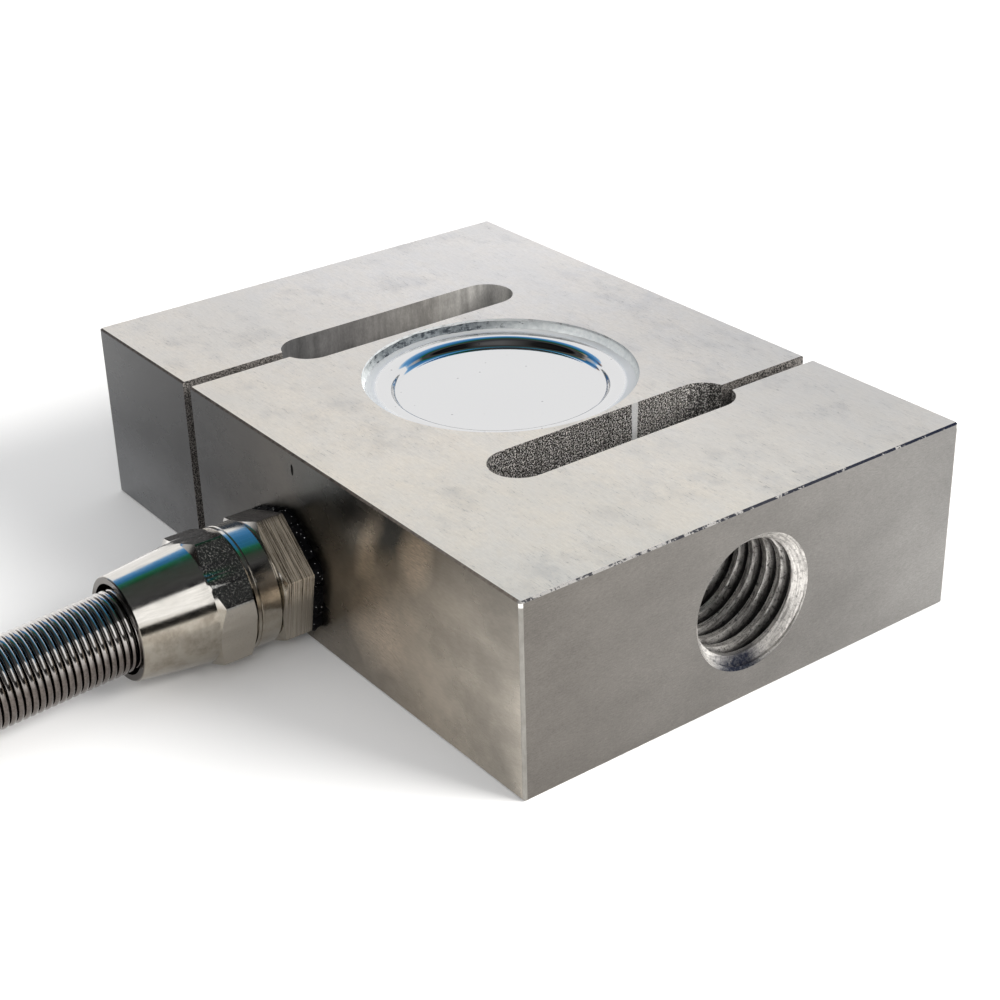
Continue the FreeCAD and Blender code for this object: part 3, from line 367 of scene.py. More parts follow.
def side_steel():
    """The long sides: painted reflection and shade, cool and dull at -X, warm at +X.

    Painted shade darkens them upwards and in patches at the gland, and painted gleams lie beside it.
    """
    s = Shader("side_steel", (0.30, 0.28, 0.25), 0.27)
    brush = s.noise((0.8, 0.8, 6), 3, 0.7)
    clouds = s.noise((0.09, 0.07, 0.12), 4, 0.6, shift=(2.2, 1.0, 6.4))
    # Painted reflection and shade: cool and dark towards -X, warm towards +X.
    along = s.along("X", -50, 50)
    stops = [
        (0, (0.105, 0.108, 0.113)), (0.30, (0.115, 0.113, 0.113)), (0.62, (0.21, 0.185, 0.155)),
        (0.80, (0.34, 0.295, 0.240)), (1, (0.41, 0.375, 0.325)),
    ]
    colour = s.ramp(along, stops)
    # Painted shade: the sides turn darker towards the top.
    height = s.along("Z", 0, 26.5)
    cool = s.ramp(height, [(0, 0.93), (0.5, 0.30), (1, 0.20)])
    warm = s.ramp(height, [(0, 0.62), (0.5, 0.58), (1, 0.32)])
    colour = s.mix(1, colour, s.blend(along, 0.42, 0.66, cool, warm), "MULTIPLY")
    colour = s.vary(s.shade(colour, 2), clouds, 0.35, 0.65, 0.78, 1.18)
    # Painted shade: dark patches beside the gland.
    for middle, reach in SIDE_PAINTED_SHADES:
        dark = s.patch(middle, reach, SIDE_RAGGED, SIDE_LEAN)
        colour = s.mix(s.times(dark, 0.9), colour, (0.085, 0.085, 0.080))
    # Painted reflection: warm gleams beside the gland, streaked along the brushing.
    for middle, reach in SIDE_PAINTED_GLEAMS:
        gleam = s.patch(middle, reach, SIDE_RAGGED, SIDE_LEAN)
        strokes = s.span(brush, 0.35, 0.65, 0.45, 1)
        colour = s.mix(s.times(gleam, strokes), colour, (0.62, 0.51, 0.40))
    s.set("Roughness", s.span(clouds, 0.35, 0.65, 0.22, 0.33))
    return s.done(s.vary(colour, brush, 0.3, 0.7, 0.90, 1.10), brush, 0.003)


def end_steel():
    """The two end faces: mid grey, finely ground, with painted light towards +Y and low on the +Y side.
    """
    s = Shader("end_steel", (0.22, 0.21, 0.20), 0.34)
    grain = s.noise((0.8, 1.2, 6.5), 3, 0.75, (14, 0, 0))
    fine = s.noise(4.5, 2, 0.7, shift=(2, 0, 5))
    clouds = s.noise((0.05, 0.05, 0.11), 5, 0.6, shift=(4, 8, 1.5))
    ticks = s.noise((0.6, 1, 5), 3, 0.75, (20, 0, 0), (0, 9, 1))
    # Painted light: lighter towards +Y, and lighter again low down on the +Y side.
    colour = s.mix(s.along("Y", -35, 35), (0.176, 0.163, 0.148), (0.236, 0.229, 0.220))
    right_foot_painted_light = s.times(s.along("Y", -5, 30), s.along("Z", 20, 2))
    colour = s.vary(colour, right_foot_painted_light, 0, 1, 1, 1.22)
    colour = s.vary(colour, clouds, 0.32, 0.68, 0.82, 1.17)
    colour = s.vary(colour, grain, 0.3, 0.7, 0.84, 1.13)
    colour = s.mix(s.span(ticks, 0.62, 0.70, 0, 0.35), colour, (0.10, 0.095, 0.09))
    s.set("Roughness", s.span(clouds, 0.35, 0.65, 0.29, 0.40))
    return s.done(s.vary(colour, fine, 0.3, 0.7, 0.92, 1.08), grain, 0.006, 0.45)


def worn_edge():
    """The broken edges: brown-grey at the gland's side, dark and nicked at the end."""
    s = Shader("worn_edge", (0.05, 0.05, 0.06), 0.45, 0.25)
    nicks = s.noise((0.95, 0.95, 0.5), 4, 0.75)
    fine = s.noise((2.2, 2.2, 1), 3, 0.7, shift=(3, 1, 0))
    along_end = s.along("Y", -35, 35)
    bare = s.span(along_end, 0.05, 0.80, 0.40, 0.60)
    dark = s.mix(along_end, (0.045, 0.045, 0.050), (0.008, 0.010, 0.022))
    end = s.blend(s.minus(nicks, bare), 0, 0.05, dark, (0.30, 0.29, 0.28))
    dark_side = s.blend(fine, 0.35, 0.65, (0.05, 0.040, 0.034), (0.12, 0.100, 0.086))
    pale_side = s.blend(fine, 0.35, 0.65, (0.13, 0.108, 0.090), (0.21, 0.182, 0.155))
    side = s.mix(s.along("X", 14, 34), dark_side, pale_side)
    s.set("Specular IOR Level", 0.2)
    return s.done(s.mix(s.along("X", 49.2, 49.6), side, end), fine, 0.05, 0.6)


def round_edge():
    """The rounded upright corners: a rubbed grey grain, with a painted highlight near their top ends.
    """
    s = Shader("round_edge", (0.33, 0.31, 0.28), 0.30)
    rub = s.noise((1, 1, 0.5), 4, 0.7)
    colour = s.blend(rub, 0.3, 0.7, (0.25, 0.24, 0.22), (0.34, 0.325, 0.30))
    # Painted highlight: the corners turn near white just under the top face.
    tip = s.along("Z", 25.6, 25.8)
    return s.done(s.mix(tip, colour, (0.86, 0.85, 0.81)), rub, 0.02, 0.4)


def milled_slot():
    """The first slot's wall: soft upright tool marks, painted shade near the slit and painted light
    away from it.
    """
    s = Shader("milled_slot", (0.30, 0.29, 0.28), 0.6, 0.5)
    marks = s.noise((0.55, 0.55, 0.05), 4, 0.6)
    grain = s.noise((4.2, 4.2, 2), 3, 0.7)
    blotch = s.noise((0.5, 0.5, 0.3), 3, 0.6, shift=(4, 1, 2))
    # Painted shade at the slit's end (-Y), painted light towards the +Y end.
    stops = [
        (0, (0.120, 0.120, 0.122)), (0.35, (0.19, 0.183, 0.178)),
        (0.70, (0.33, 0.315, 0.295)), (1, (0.62, 0.605, 0.58)),
    ]
    colour = s.vary(s.ramp(s.along("Y", -20, 20), stops), marks, 0.32, 0.68, 0.72, 1.25)
    colour = s.vary(colour, blotch, 0.35, 0.65, 0.85, 1.12)
    colour = s.vary(colour, grain, 0.3, 0.7, 0.82, 1.12)
    return s.done(colour, s.plus(marks, s.times(grain, 0.4)), 0.03)


# Where a light streak runs down the second slot's wall
STREAK_Y = 7.4


def speckled_slot():
    """Spark-cut walls: a grain of tiny bright and black specks, ticks, one streak and painted light by
    the slit.
    """
    s = Shader("speckled_slot", (0.12, 0.115, 0.11), 0.55, 0.5)
    grain = s.noise(4.6, 2, 0.9)
    columns = s.noise((1.3, 1.3, 0.05), 3, 0.6)
    ticks = s.noise((2.2, 2.2, 0.8), 1, 0.4, shift=(17, 5, 3))
    # Painted light: the grain turns brighter towards the slit's end.
    slit_side_painted_light = s.along("Y", 5, 18.5)
    low = s.mix(slit_side_painted_light, (0.006, 0.0055, 0.005), (0.06, 0.056, 0.052))
    high = s.mix(slit_side_painted_light, (0.80, 0.765, 0.73), (1.0, 0.965, 0.92))
    colour = s.vary(s.blend(grain, 0.515, 0.60, low, high), columns, 0.35, 0.66, 0.75, 1.2)
    colour = s.mix(s.span(ticks, 0.78, 0.80, 0, 0.9), colour, (0.95, 0.93, 0.88))
    off_line = s.maths("ABSOLUTE", s.along("Y", STREAK_Y, STREAK_Y + 1, False))
    half_width = s.span(s.along("Z", 15, 26.5), 0, 1, 0.20, 0.50)
    line = s.span(s.minus(off_line, half_width), 0, 0.12, 0.85, 0)
    near_wall = s.along("X", SLOTS[1][0], SLOTS[1][0] - 0.5)
    return s.done(s.mix(s.times(line, near_wall), colour, 0.68), grain, 0.05, 0.6)


def dark_slit():
    """Inside the narrow slits: the same spark-cut grain, painted dark as the deep shade in them."""
    s = Shader("dark_slit", (0.06, 0.055, 0.05), 0.6, 0.4)
    grain = s.noise(5.2, 2, 0.8)
    colour = s.blend(grain, 0.44, 0.62, (0.012, 0.011, 0.010), (0.33, 0.305, 0.285))
    return s.done(colour, grain, 0.08, 0.7)


def threaded_steel():
    """The cut thread and its countersink: torn, streaked along the cut.

    Painted shade darkens the roots, and a painted dark blue reflection lies low in the countersink.
    """
    s = Shader("threaded_steel", (0.58, 0.56, 0.53), 0.36, 0.75)
    cut = s.noise((5, 0.35, 0.35), 4, 0.7)
    torn = s.noise((2.6, 1.8, 1.8), 4, 0.75, shift=(2, 2, 2))
    colour = s.blend(cut, 0.36, 0.62, (0.22, 0.205, 0.195), (0.86, 0.83, 0.79))
    colour = s.mix(s.span(torn, 0.52, 0.66, 0, 0.85), colour, (0.05, 0.047, 0.047))
    outside = s.along("X", 47.2, 48.4)
    inside = s.span(outside, 0, 1, 1, 0)
    # Painted shade in the thread's roots, inside the block.
    off_axis = s.vectors("LENGTH", s.place((0, 1, 1), shift=(0, 0, -BLOCK.z / 2)))
    root = s.span(off_axis, THREAD_CORE + 0.25, THREAD_OUTER - 0.35, 0, 0.93)
    colour = s.mix(s.times(root, inside), colour, (0.012, 0.011, 0.011))
    colour = s.mix(s.times(outside, 0.25), colour, (0.85, 0.82, 0.78))
    # Painted reflection: dark blue low in the countersink, on its -Y side.
    foot_painted_reflection = s.times(s.along("Z", 7.2, 5.2), s.along("Y", 3.5, 0.5))
    foot_painted_reflection = s.times(foot_painted_reflection, s.span(torn, 0.30, 0.55, 0.75, 1))
    colour = s.mix(s.times(foot_painted_reflection, outside), colour, (0.018, 0.022, 0.040))
    s.set("Roughness", s.span(torn, 0.35, 0.65, 0.26, 0.50))
    return s.done(colour, s.plus(cut, s.times(torn, 0.8)), 0.05, 0.7)


def seat_steel():
    """What is seen of the seat's turned wall, above the sealant."""
    s = Shader("seat_steel", (0.70, 0.72, 0.72), 0.5, 0.5)
    rough = s.noise((0.55, 0.55, 0.9), 4, 0.7, shift=(6, 0, 0))
    colour = s.mix(s.span(rough, 0.52, 0.66, 0, 0.8), (0.74, 0.76, 0.76), 0.34)
    return s.done(colour, rough, 0.04)


def plain_bore():
    """Hidden bores and pockets, left as machined."""
    s = Shader("plain_bore", (0.42, 0.41, 0.40), 0.4)
    marks = s.noise((1.2, 1.2, 2.4), 3, 0.6)
    return s.done(s.mix(marks, (0.30, 0.29, 0.28), (0.52, 0.51, 0.49)), marks, 0.02, 0.4)


def dark_pit():
    """The bottom of the punch mark, painted near black as the shade in it."""
    s = Shader("dark_pit", 0.03, 0.6)
    return s.done(s.mix(s.noise(2, 3, 0.6), 0.012, (0.05, 0.047, 0.045)))


def mirror_steel():
    """The pressed cover: polished, with hairlines and specks, dull at its outside, with painted light
    and shade there.
    """
    s = Shader("mirror_steel", (0.73, 0.73, 0.735), 0.045)
    hair = s.noise((0.25, 2.6, 1), 2, 0.5, (0, 0, 30))
    specks = s.cells(0.42)
    where = s.add("ShaderNodeTexCoord").outputs["Object"]
    off_middle = s.vectors("LENGTH", s.vectors("MULTIPLY", where, (1, 1, 0)))
    outside = s.span(off_middle, 16.6 * MM, 17.6 * MM)
    bright = s.mix(s.span(specks, 0.035, 0.075, 1, 0), (0.73, 0.73, 0.735), (0.42, 0.42, 0.43))
    # Painted light and shade on the dull outside: darker and more metallic at -X, where the key lamp
    # falls, paler at +X, which lies in the lamp's shadow.
    lit_side = s.along("X", 8, -4)
    dull = s.mix(lit_side, (0.80, 0.81, 0.82), (0.66, 0.665, 0.67))
    bare = s.span(lit_side, 0, 1, 0.85, 0.50)
    polish = s.span(hair, 0.35, 0.70, 0.035, 0.085)
    s.set("Metallic", s.minus(1, s.times(outside, bare)))
    s.set("Roughness", s.maths("MAXIMUM", polish, s.span(outside, 0, 1, 0, 0.6)))
    return s.done(s.mix(outside, bright, dull), hair, 0.0008, 0.3)


def sealant():
    """The pale, rough sealant on the seat's wall, painted grey as shade at its -X side and nicked
    there.
    """
    s = Shader("sealant", (0.70, 0.74, 0.74), 0.6, 0)
    s.set("Specular IOR Level", 0.2)
    lumps = s.noise(1.1, 4, 0.7)
    nicks = s.noise((0.9, 0.9, 1.6), 4, 0.75, shift=(5, 2, 0))
    # Painted shade: the sealant turns grey towards -X.
    shaded = s.along("X", -6, -17)
    pale = s.blend(lumps, 0.3, 0.7, (0.66, 0.70, 0.71), (0.88, 0.90, 0.89))
    grey = s.blend(lumps, 0.3, 0.7, (0.05, 0.058, 0.064), (0.15, 0.165, 0.175))
    over = s.minus(nicks, s.span(shaded, 0, 1, 0.80, 0.52))
    colour = s.mix(s.span(over, 0, 0.06, 0, 0.9), s.mix(shaded, pale, grey), (0.02, 0.024, 0.03))
    return s.done(colour, lumps, 0.06, 0.6)


def plated_brass(name, streaked):
    """Nickel plate: bright, with milling streaks round the axis or a fine orange peel.

    Painted shade makes it darker low down, and painted dark reflections lie near its top.
    """
    s = Shader(name, (0.58, 0.54, 0.48), 0.14)
    peel = s.noise(3.4, 3, 0.7)
    rubbed = s.noise(4.2, 3, 0.8, shift=(0, 7, 2))
    # Painted shade: darker and less metallic towards the bottom.
    low = s.along("Z", 10, 8)
    if streaked:
        streaks = s.noise((0.06, 4.6, 0.06), 5, 0.85)
        colour = s.blend(streaks, 0.44, 0.56, (0.66, 0.575, 0.46), (0.055, 0.038, 0.024))
        colour = s.mix(s.span(rubbed, 0.55, 0.70, 0, 0.5), colour, (0.60, 0.55, 0.48))
        colour = s.mix(s.times(low, 0.75), colour, (0.35, 0.32, 0.275))
        s.set("Metallic", s.span(low, 0, 1, 0.60, 0.9))
        s.set("Roughness", s.span(streaks, 0.35, 0.65, 0.30, 0.45))
        s.bump(streaks, 0.06, 0.8)
    else:
        stains = s.noise(0.30, 4, 0.6, shift=(1, 2, 3))
        colour = s.blend(stains, 0.38, 0.68, (0.50, 0.465, 0.41), (0.40, 0.36, 0.31))
        colour = s.mix(s.times(low, 0.8), colour, (0.36, 0.33, 0.285))
        # Painted dark reflection, speckled, on the upper flat towards +X.
        face = s.times(s.along("X", 1.8, 2.3), s.along("Z", 11.3, 11.8))
        speckled = s.blend(rubbed, 0.52, 0.62, (0.30, 0.30, 0.29), (0.62, 0.60, 0.57))
        colour = s.mix(face, colour, speckled)
        s.set("Metallic", s.span(rubbed, 0.52, 0.64, 1, 0.88))
        s.set("Roughness", s.span(peel, 0.35, 0.65, 0.10, 0.22))
    # Painted dark reflection near the top towards -X, with pale dust specks in it.
    top = s.times(s.along("X", 2.4, 1.6), s.along("Z", 13, 14))
    dust_and_painted_dark = s.blend(peel, 0.60, 0.68, (0.055, 0.045, 0.043), (0.50, 0.47, 0.44))
    return s.done(s.mix(s.times(top, 0.9), colour, dust_and_painted_dark), peel, 0.015)


def turned_plate():
    """Nickel plate on turned surfaces: finer and brighter, with rings round the axis.

    Painted light on its upper side, painted shade with stains on its lower side, darker at the nose's
    mouth.
    """
    s = Shader("turned_plate", (0.62, 0.58, 0.52), 0.10)
    rings = s.noise((0.08, 5, 0.08), 3, 0.6)
    lines = s.noise((3.5, 0.12, 3.5), 3, 0.6, shift=(1, 0, 8))
    stains = s.noise(0.45, 5, 0.7, shift=(4, 2, 0))
    # Painted light on the upper side and painted shade on the lower side, where stains show too.
    upper = s.mix(lines, (0.62, 0.59, 0.54), (0.86, 0.83, 0.79))
    lower = s.blend(stains, 0.40, 0.66, (0.36, 0.33, 0.28), (0.25, 0.22, 0.18))
    colour = s.mix(s.along("Z", 12.6, 11.6), upper, lower)
    mouth = s.along("Y", SIDE_Y - 24.58, SIDE_Y - 24.70)
    colour = s.mix(s.times(mouth, 0.85), colour, (0.085, 0.075, 0.068))
    s.set("Roughness", s.span(stains, 0.35, 0.65, 0.10, 0.20))
    return s.done(colour, rings, 0.006)


def spring_steel():
    """Bright spring wire with fine drawing lines; painted light above and painted shade below, dark and
    brownish.
    """
    s = Shader("spring_steel", (0.44, 0.41, 0.385), 0.13)
    lines = s.noise((0.4, 7, 0.4), 3, 0.6)
    specks = s.noise(3, 3, 0.7, shift=(3, 9, 1))
    # Painted light on the upper turns, painted shade under them.
    bright = s.mix(lines, (0.50, 0.475, 0.455), (0.74, 0.72, 0.70))
    dull = s.mix(lines, (0.105, 0.090, 0.082), (0.165, 0.145, 0.132))
    dull = s.vary(dull, specks, 0.35, 0.65, 0.75, 1.25)
    colour = s.mix(s.along("Z", 11.5, 8.5), bright, dull)
    return s.done(colour, s.plus(lines, specks), 0.010)


def black_seal():
    """Squeezed black sealing compound with dust on it."""
    s = Shader("black_seal", (0.004, 0.004, 0.005), 0.42, 0)
    s.set("Specular IOR Level", 0.05)
    colour = s.mix(s.span(s.cells(1.8), 0.08, 0.14, 1, 0), (0.003, 0.003, 0.0035), 0.60)
    return s.done(colour, s.noise(1.7, 4, 0.7), 0.22, 0.9)


def plastic(name, colour, roughness=0.38, grain=2.0, depth_mm=0.02):
    """A plain moulded or drawn plastic or rubber, with a fine grain and faint mottling."""
    s = Shader(name, colour, roughness, 0)
    texture = s.noise(grain, 3, 0.6)
    darker = tuple(0.82 * part for part in colour)
    return s.done(s.blend(texture, 0.3, 0.7, colour, darker), texture, depth_mm, 0.4)


def tinned_wire():
    s = Shader("tinned_wire", (0.72, 0.71, 0.69), 0.28)
    strands = s.noise((1.2, 1.2, 6), 2, 0.5)
    return s.done(s.mix(strands, (0.55, 0.54, 0.52), (0.82, 0.81, 0.79)), strands, 0.05, 0.6)


# The steel block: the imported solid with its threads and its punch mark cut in

THREAD_PITCH = 2.5
THREAD_OUTER = 9.0
THREAD_CORE = 7.55
THREAD_AROUND = 72
THREAD_TURNS = 9
# Where the cutter starts and ends along X
THREAD_START, THREAD_END = 27.4, 54.0
# How far along the pitch each point of the thread's outline is, and if it is on the crest
THREAD_OUTLINE = [
    (0.0, 1.0), (0.12, 1.0), (0.23, 0.66), (0.34, 0.33),
    (0.45, 0.0), (0.67, 0.0), (0.78, 0.33), (0.89, 0.66),
]
PUNCH = Vector((2.9, SIDE_Y, 24.1))
PUNCH_RADII = (0.30, 0.38, 0.80)


def thread_cutter(end):
    """A screw that cuts one end's thread; end is 1 at +X and -1 at -X."""
    points = []
    per_turn = len(THREAD_OUTLINE)
    rows = per_turn * THREAD_TURNS + 1
    width = THREAD_AROUND + 1
    for row in range(rows):
        turn, place = divmod(row, per_turn)
        along, crest = THREAD_OUTLINE[place]
        radius = THREAD_CORE + (THREAD_OUTER - THREAD_CORE) * crest
        for step in range(width):
            share = step / THREAD_AROUND
            angle = 2 * math.pi * share
            x = THREAD_START + THREAD_PITCH * (turn + along + share)
            z = BLOCK.z / 2 + radius * math.sin(angle)
            points.append((end * x, end * radius * math.cos(angle), z))

    def number(row, step):
        """A point's number; a row ends on the first point of the row one turn further on."""
        if step == THREAD_AROUND and row + per_turn < rows:
            return (row + per_turn) * width
        return row * width + step

    faces = []
    for row in range(rows - 1):
        for step in range(THREAD_AROUND):
            low = number(row, step), number(row + 1, step)
            faces.append((*low, number(row + 1, step + 1), number(row, step + 1)))
    first = [number(0, step) for step in range(width)]
    first += [number(row, 0) for row in range(per_turn - 1, 0, -1)]
    last = [number(rows - 1, step) for step in range(width)]
    last += [number(row, THREAD_AROUND) for row in range(rows - per_turn, rows - 1)]
    for loop, x in ((first, THREAD_START), (last[::-1], THREAD_END)):
        points.append((end * x, 0.0, BLOCK.z / 2))
        middle = len(points) - 1
        for here, after in zip(loop, loop[1:] + loop[:1]):
            if here != after:
                faces.append((here, after, middle))
    mesh = mesh_from("thread_cutter", points, faces)
    clean_up(mesh)
    return mesh


def punch_cutter():
    """A small upright dent by the gland, as left by a punch."""
    form = bmesh.new()
    bmesh.ops.create_icosphere(form, subdivisions=3, radius=1.0)
    sized = Matrix.Diagonal((*(radius * MM for radius in PUNCH_RADII), 1.0))
    bmesh.ops.transform(form, matrix=Matrix.Translation(PUNCH * MM) @ sized, verts=form.verts)
    mesh = bpy.data.meshes.new("punch_cutter")
    form.to_mesh(mesh)
    form.free()
    return mesh


# The finish of each zone of the block, in the order of their slots
ZONES = {
    "broad": ground_steel, "side": side_steel, "end": end_steel, "edge": worn_edge,
    "corner": round_edge, "milled": milled_slot, "speckled": speckled_slot, "slit": dark_slit,
    "thread": threaded_steel, "seat": seat_steel, "bore": plain_bore, "pit": dark_pit,
}


def make_block():
    packed = nodes["body_block"].data
    solid = bpy.data.meshes.new("steel_block")
    faces = [tuple(face.vertices) for face in packed.polygons]
    solid.from_pydata([v.co for v in packed.vertices], [], faces)
    block = placed("steel_block", solid)
    clean_up(solid)
    cutters = [placed("cutter", mesh) for mesh in (thread_cutter(1), thread_cutter(-1), punch_cutter())]
    for cutter in cutters:
        cut = block.modifiers.new("cut", "BOOLEAN")
        cut.operation = "DIFFERENCE"
        cut.solver = "EXACT"
        cut.object = cutter
    mesh = apply_modifiers(block)
    for cutter in cutters:
        bpy.data.objects.remove(cutter)
    mesh.materials.clear()
    for make in ZONES.values():
        mesh.materials.append(make())
    names = list(ZONES)
    for face in mesh.polygons:
        face.material_index = names.index(block_zone(face))
    smooth(mesh, 24)
    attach(block, "root")
    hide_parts("body_block")


def block_zone(face):
    """Which finish a face of the block has, by where it is and which way it points."""
    place = face.center / MM
    x, y, z = place
    normal = face.normal
    if (place - PUNCH).length < 0.95 and (abs(normal.y) < 0.99 or y > SIDE_Y + 0.02):
        return "pit"
    on_broad = z > BLOCK.z - 0.3 or z < 0.3
    if on_broad and abs(normal.z) > 0.98:
        return "broad"
    second = x >= 0
    slot_x, slot_y = SLOTS[second]
    off_slot = abs(x - slot_x)
    along_slot = abs(y - slot_y)
    to_slit = y - slot_y if second else slot_y - y
    off_axis = math.hypot(y, z - BLOCK.z / 2)
    in_slit = off_slot < SLIT_HALF_WIDTH + 0.02
    if off_slot < SLOT_HALF_WIDTH + 0.05 and along_slot < SLOT_HALF_LENGTH + 0.05:
        if in_slit and to_slit > SLOT_HALF_LENGTH - 0.2:
            return "slit"
        if off_axis > THREAD_OUTER or abs(normal.z) < 0.1:
            return "speckled" if second else "milled"
    if in_slit and to_slit > SLOT_HALF_LENGTH - 0.5:
        return "slit"
    if on_broad and 0.3 < abs(normal.z):
        return "edge"
    if abs(x) > SLOTS[1][0] and off_axis < TAP_MOUTH + 0.1 and abs(normal.x) < 0.98:
        return "thread"
    if abs(x) > BLOCK.x / 2 - CORNER_ROUND and abs(y) > BLOCK.y / 2 - CORNER_ROUND:
        return "corner"
    if abs(x) > BLOCK.x / 2 - 0.1:
        return "end"
    if abs(y) > BLOCK.y / 2 - 0.5:
        return "side"
    return "seat" if abs(math.hypot(x, y) - SEAT) < 0.2 else "bore"


# The two covers and their beads of sealant

# The cover's section, from its rim inwards: distance from the middle and depth from the
# broad face, with the pressed bends drawn round
COVER_OUTLINE = [
    (18.68, 1.60), (18.68, 1.42), (18.62, 1.375), (18.3, 1.37), (16.1, 1.37),
    (15.85, 1.38), (15.6, 1.405), (15.35, 1.45), (15.12, 1.52), (14.93, 1.62),
    (14.79, 1.75), (14.69, 1.90), (14.60, 2.06), (14.51, 2.21), (14.40, 2.33),
    (14.27, 2.41), (14.12, 2.455), (13.95, 2.47), (7.0, 2.462), (0.6, 2.46),
]
COVER_AROUND = 160
COVER_THICK = 0.35
BEAD_AROUND, BEAD_SECTION = 300, 9
# How deep the bead's foot lies on the rim
BEAD_FOOT = 1.365


def cover_point(angle, radius, depth, upper):
    z = BLOCK.z - depth if upper else depth
    return radius * math.cos(angle), radius * math.sin(angle), z


def make_cover(name, node, upper):
    """The pressed cover as a sheet with rounded bends, closed by a disc in its middle."""
    rows = len(COVER_OUTLINE)
    points = [
        cover_point(angle, radius, depth, upper)
        for radius, depth in COVER_OUTLINE
        for angle in full_turn(COVER_AROUND)
    ]
    faces = grid_faces(rows, COVER_AROUND, round_across=True)
    faces.append(end_faces(rows, COVER_AROUND)[1])
    piece = whole_piece(name, node, points, faces, 40, mirror)
    sheet = piece.modifiers.new("sheet", "SOLIDIFY")
    sheet.thickness = COVER_THICK * MM
    sheet.offset = -1.0


def make_bead(name, node, upper):
    """An uneven bead that covers the seat's wall and runs out on the cover's rim."""
    points = []
    for angle in full_turn(BEAD_AROUND):
        spot = Vector((math.cos(angle), math.sin(angle), 0.0)) * 5.0
        wide = 0.34 + 0.22 * noise.noise(spot) + 0.16 * noise.noise(spot * 5.0)
        wide = min(max(wide, 0.16), 0.75)
        tall = min(1.03 + 0.16 * noise.noise(spot * 2.0 + Vector((0, 0, 7.0))), 1.12)
        for part in range(BEAD_SECTION):
            share = part / (BEAD_SECTION - 1)
            ripple = 0.05 * noise.noise(spot * 9.0 + Vector((0, 0, 2.0 * share)))
            reach = wide * (1.0 - share) ** 2.2 + (0.05 + ripple) * (1.0 - share)
            depth = BEAD_FOOT - tall * share
            points.append(cover_point(angle, SEAT - 0.015 - reach, depth, upper))
    faces = grid_faces(BEAD_AROUND, BEAD_SECTION, round_rows=True)
    whole_piece(name, node, points, faces, 60, sealant())


# The cable gland: each piece is drawn along the gland's axis, out from the block's side

GLAND_AROUND = 240
HEX_ACROSS = 16.0
SIXTH = math.radians(60)
# How far the two hexagons are turned, in degrees
BODY_TURN, CAP_TURN = 19.1, 17.8
# Where the body's hexagon starts and ends, and how deep its shank reaches into the block
BODY_HEX_START, BODY_HEX_END, SHANK_END = 1.33, 5.85, -7.4
SKIRT_START, CAP_HEX_START, CAP_HEX_END, NOSE_END = 5.97, 9.46, 14.74, 24.74


def gland_point(along, radius, angle):
    """A point at a distance out of the block's side, and an angle from +X towards +Z."""
    return radius * math.cos(angle), SIDE_Y - along, GLAND_Z + radius * math.sin(angle)


def hexagon_radius(angle, across, first_corner, rounds):
    """How far a hexagon's outline is from its middle, with its corners rounded."""
    flat = across / 2
    turned = (angle - math.radians(first_corner)) % (2 * math.pi)
    corner_round = rounds[round(turned / SIXTH) % 6]
    off = abs((turned + SIXTH / 2) % SIXTH - SIXTH / 2)
    plain = flat / math.cos(SIXTH / 2 - off)
    middle = (flat - corner_round) / math.cos(SIXTH / 2)
    side = middle * math.sin(off)
    if corner_round <= side:
        return plain
    return min(plain, middle * math.cos(off) + math.sqrt(corner_round ** 2 - side ** 2))


def corner_rounds(first_corner):
    """Small rounds at a hexagon's corners, and a larger one where it nears the floor."""
    corners = [math.radians(first_corner) + SIXTH * corner for corner in range(6)]
    return [1.05 if math.sin(angle) < -0.9 else 0.35 for angle in corners]


def hex_edge(face, inwards, first_corner, start=7.85, drop=0.75):
    """Where a hexagon's flats meet its turned chamfer, whose depth grows to a corner."""
    rounds = corner_rounds(first_corner)
    full = HEX_ACROSS / 2 / math.cos(SIXTH / 2) - start

    def row(angle):
        radius = hexagon_radius(angle, HEX_ACROSS, first_corner, rounds)
        return face + inwards * drop * max(radius - start, 0.0) / full, radius

    return row


def hex_face(face, first_corner):
    return hex_edge(face, 0, first_corner)


def make_turned(name, node, rows, flats, material):
    """A turned piece; its rows are an (along, radius) pair or a function of the angle.

    The material is for the one band that is a hexagon's flats.
    """
    points = []
    for row in rows:
        for angle in full_turn(GLAND_AROUND):
            along, radius = row(angle) if callable(row) else row
            points.append(gland_point(along, radius, angle))
    mesh = mesh_from(name, points, grid_faces(len(rows), GLAND_AROUND, round_across=True))
    mesh.materials.append(material)
    mesh.materials.append(turned)
    for face in mesh.polygons:
        face.material_index = int(face.index // GLAND_AROUND != flats)
    clean_up(mesh, merged=False)
    smooth(mesh, 28)
    piece = new_piece(name, mesh)
    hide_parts(node)
    return piece


def make_gland_body():
    """The hexagon next to the seal, its thread inside the cap and its shank."""
    rows = [
        (SHANK_END, 3.0),
        (SHANK_END, 5.4),
        (SHANK_END + 0.4, 5.85),
        (BODY_HEX_START, 5.85),
        hex_face(BODY_HEX_START, BODY_TURN),
        hex_edge(BODY_HEX_END, -1, BODY_TURN),
        (BODY_HEX_END, 7.85),
        (BODY_HEX_END, 6.9),
        (13.0, 6.9),
        (13.3, 6.4),
        (13.3, 4.8),
        (BODY_HEX_END, 4.8),
        (BODY_HEX_END, 3.0),
        (SHANK_END, 3.0),
    ]
    return make_turned("gland_body_piece", "gland_body", rows, 4, milled_plate)


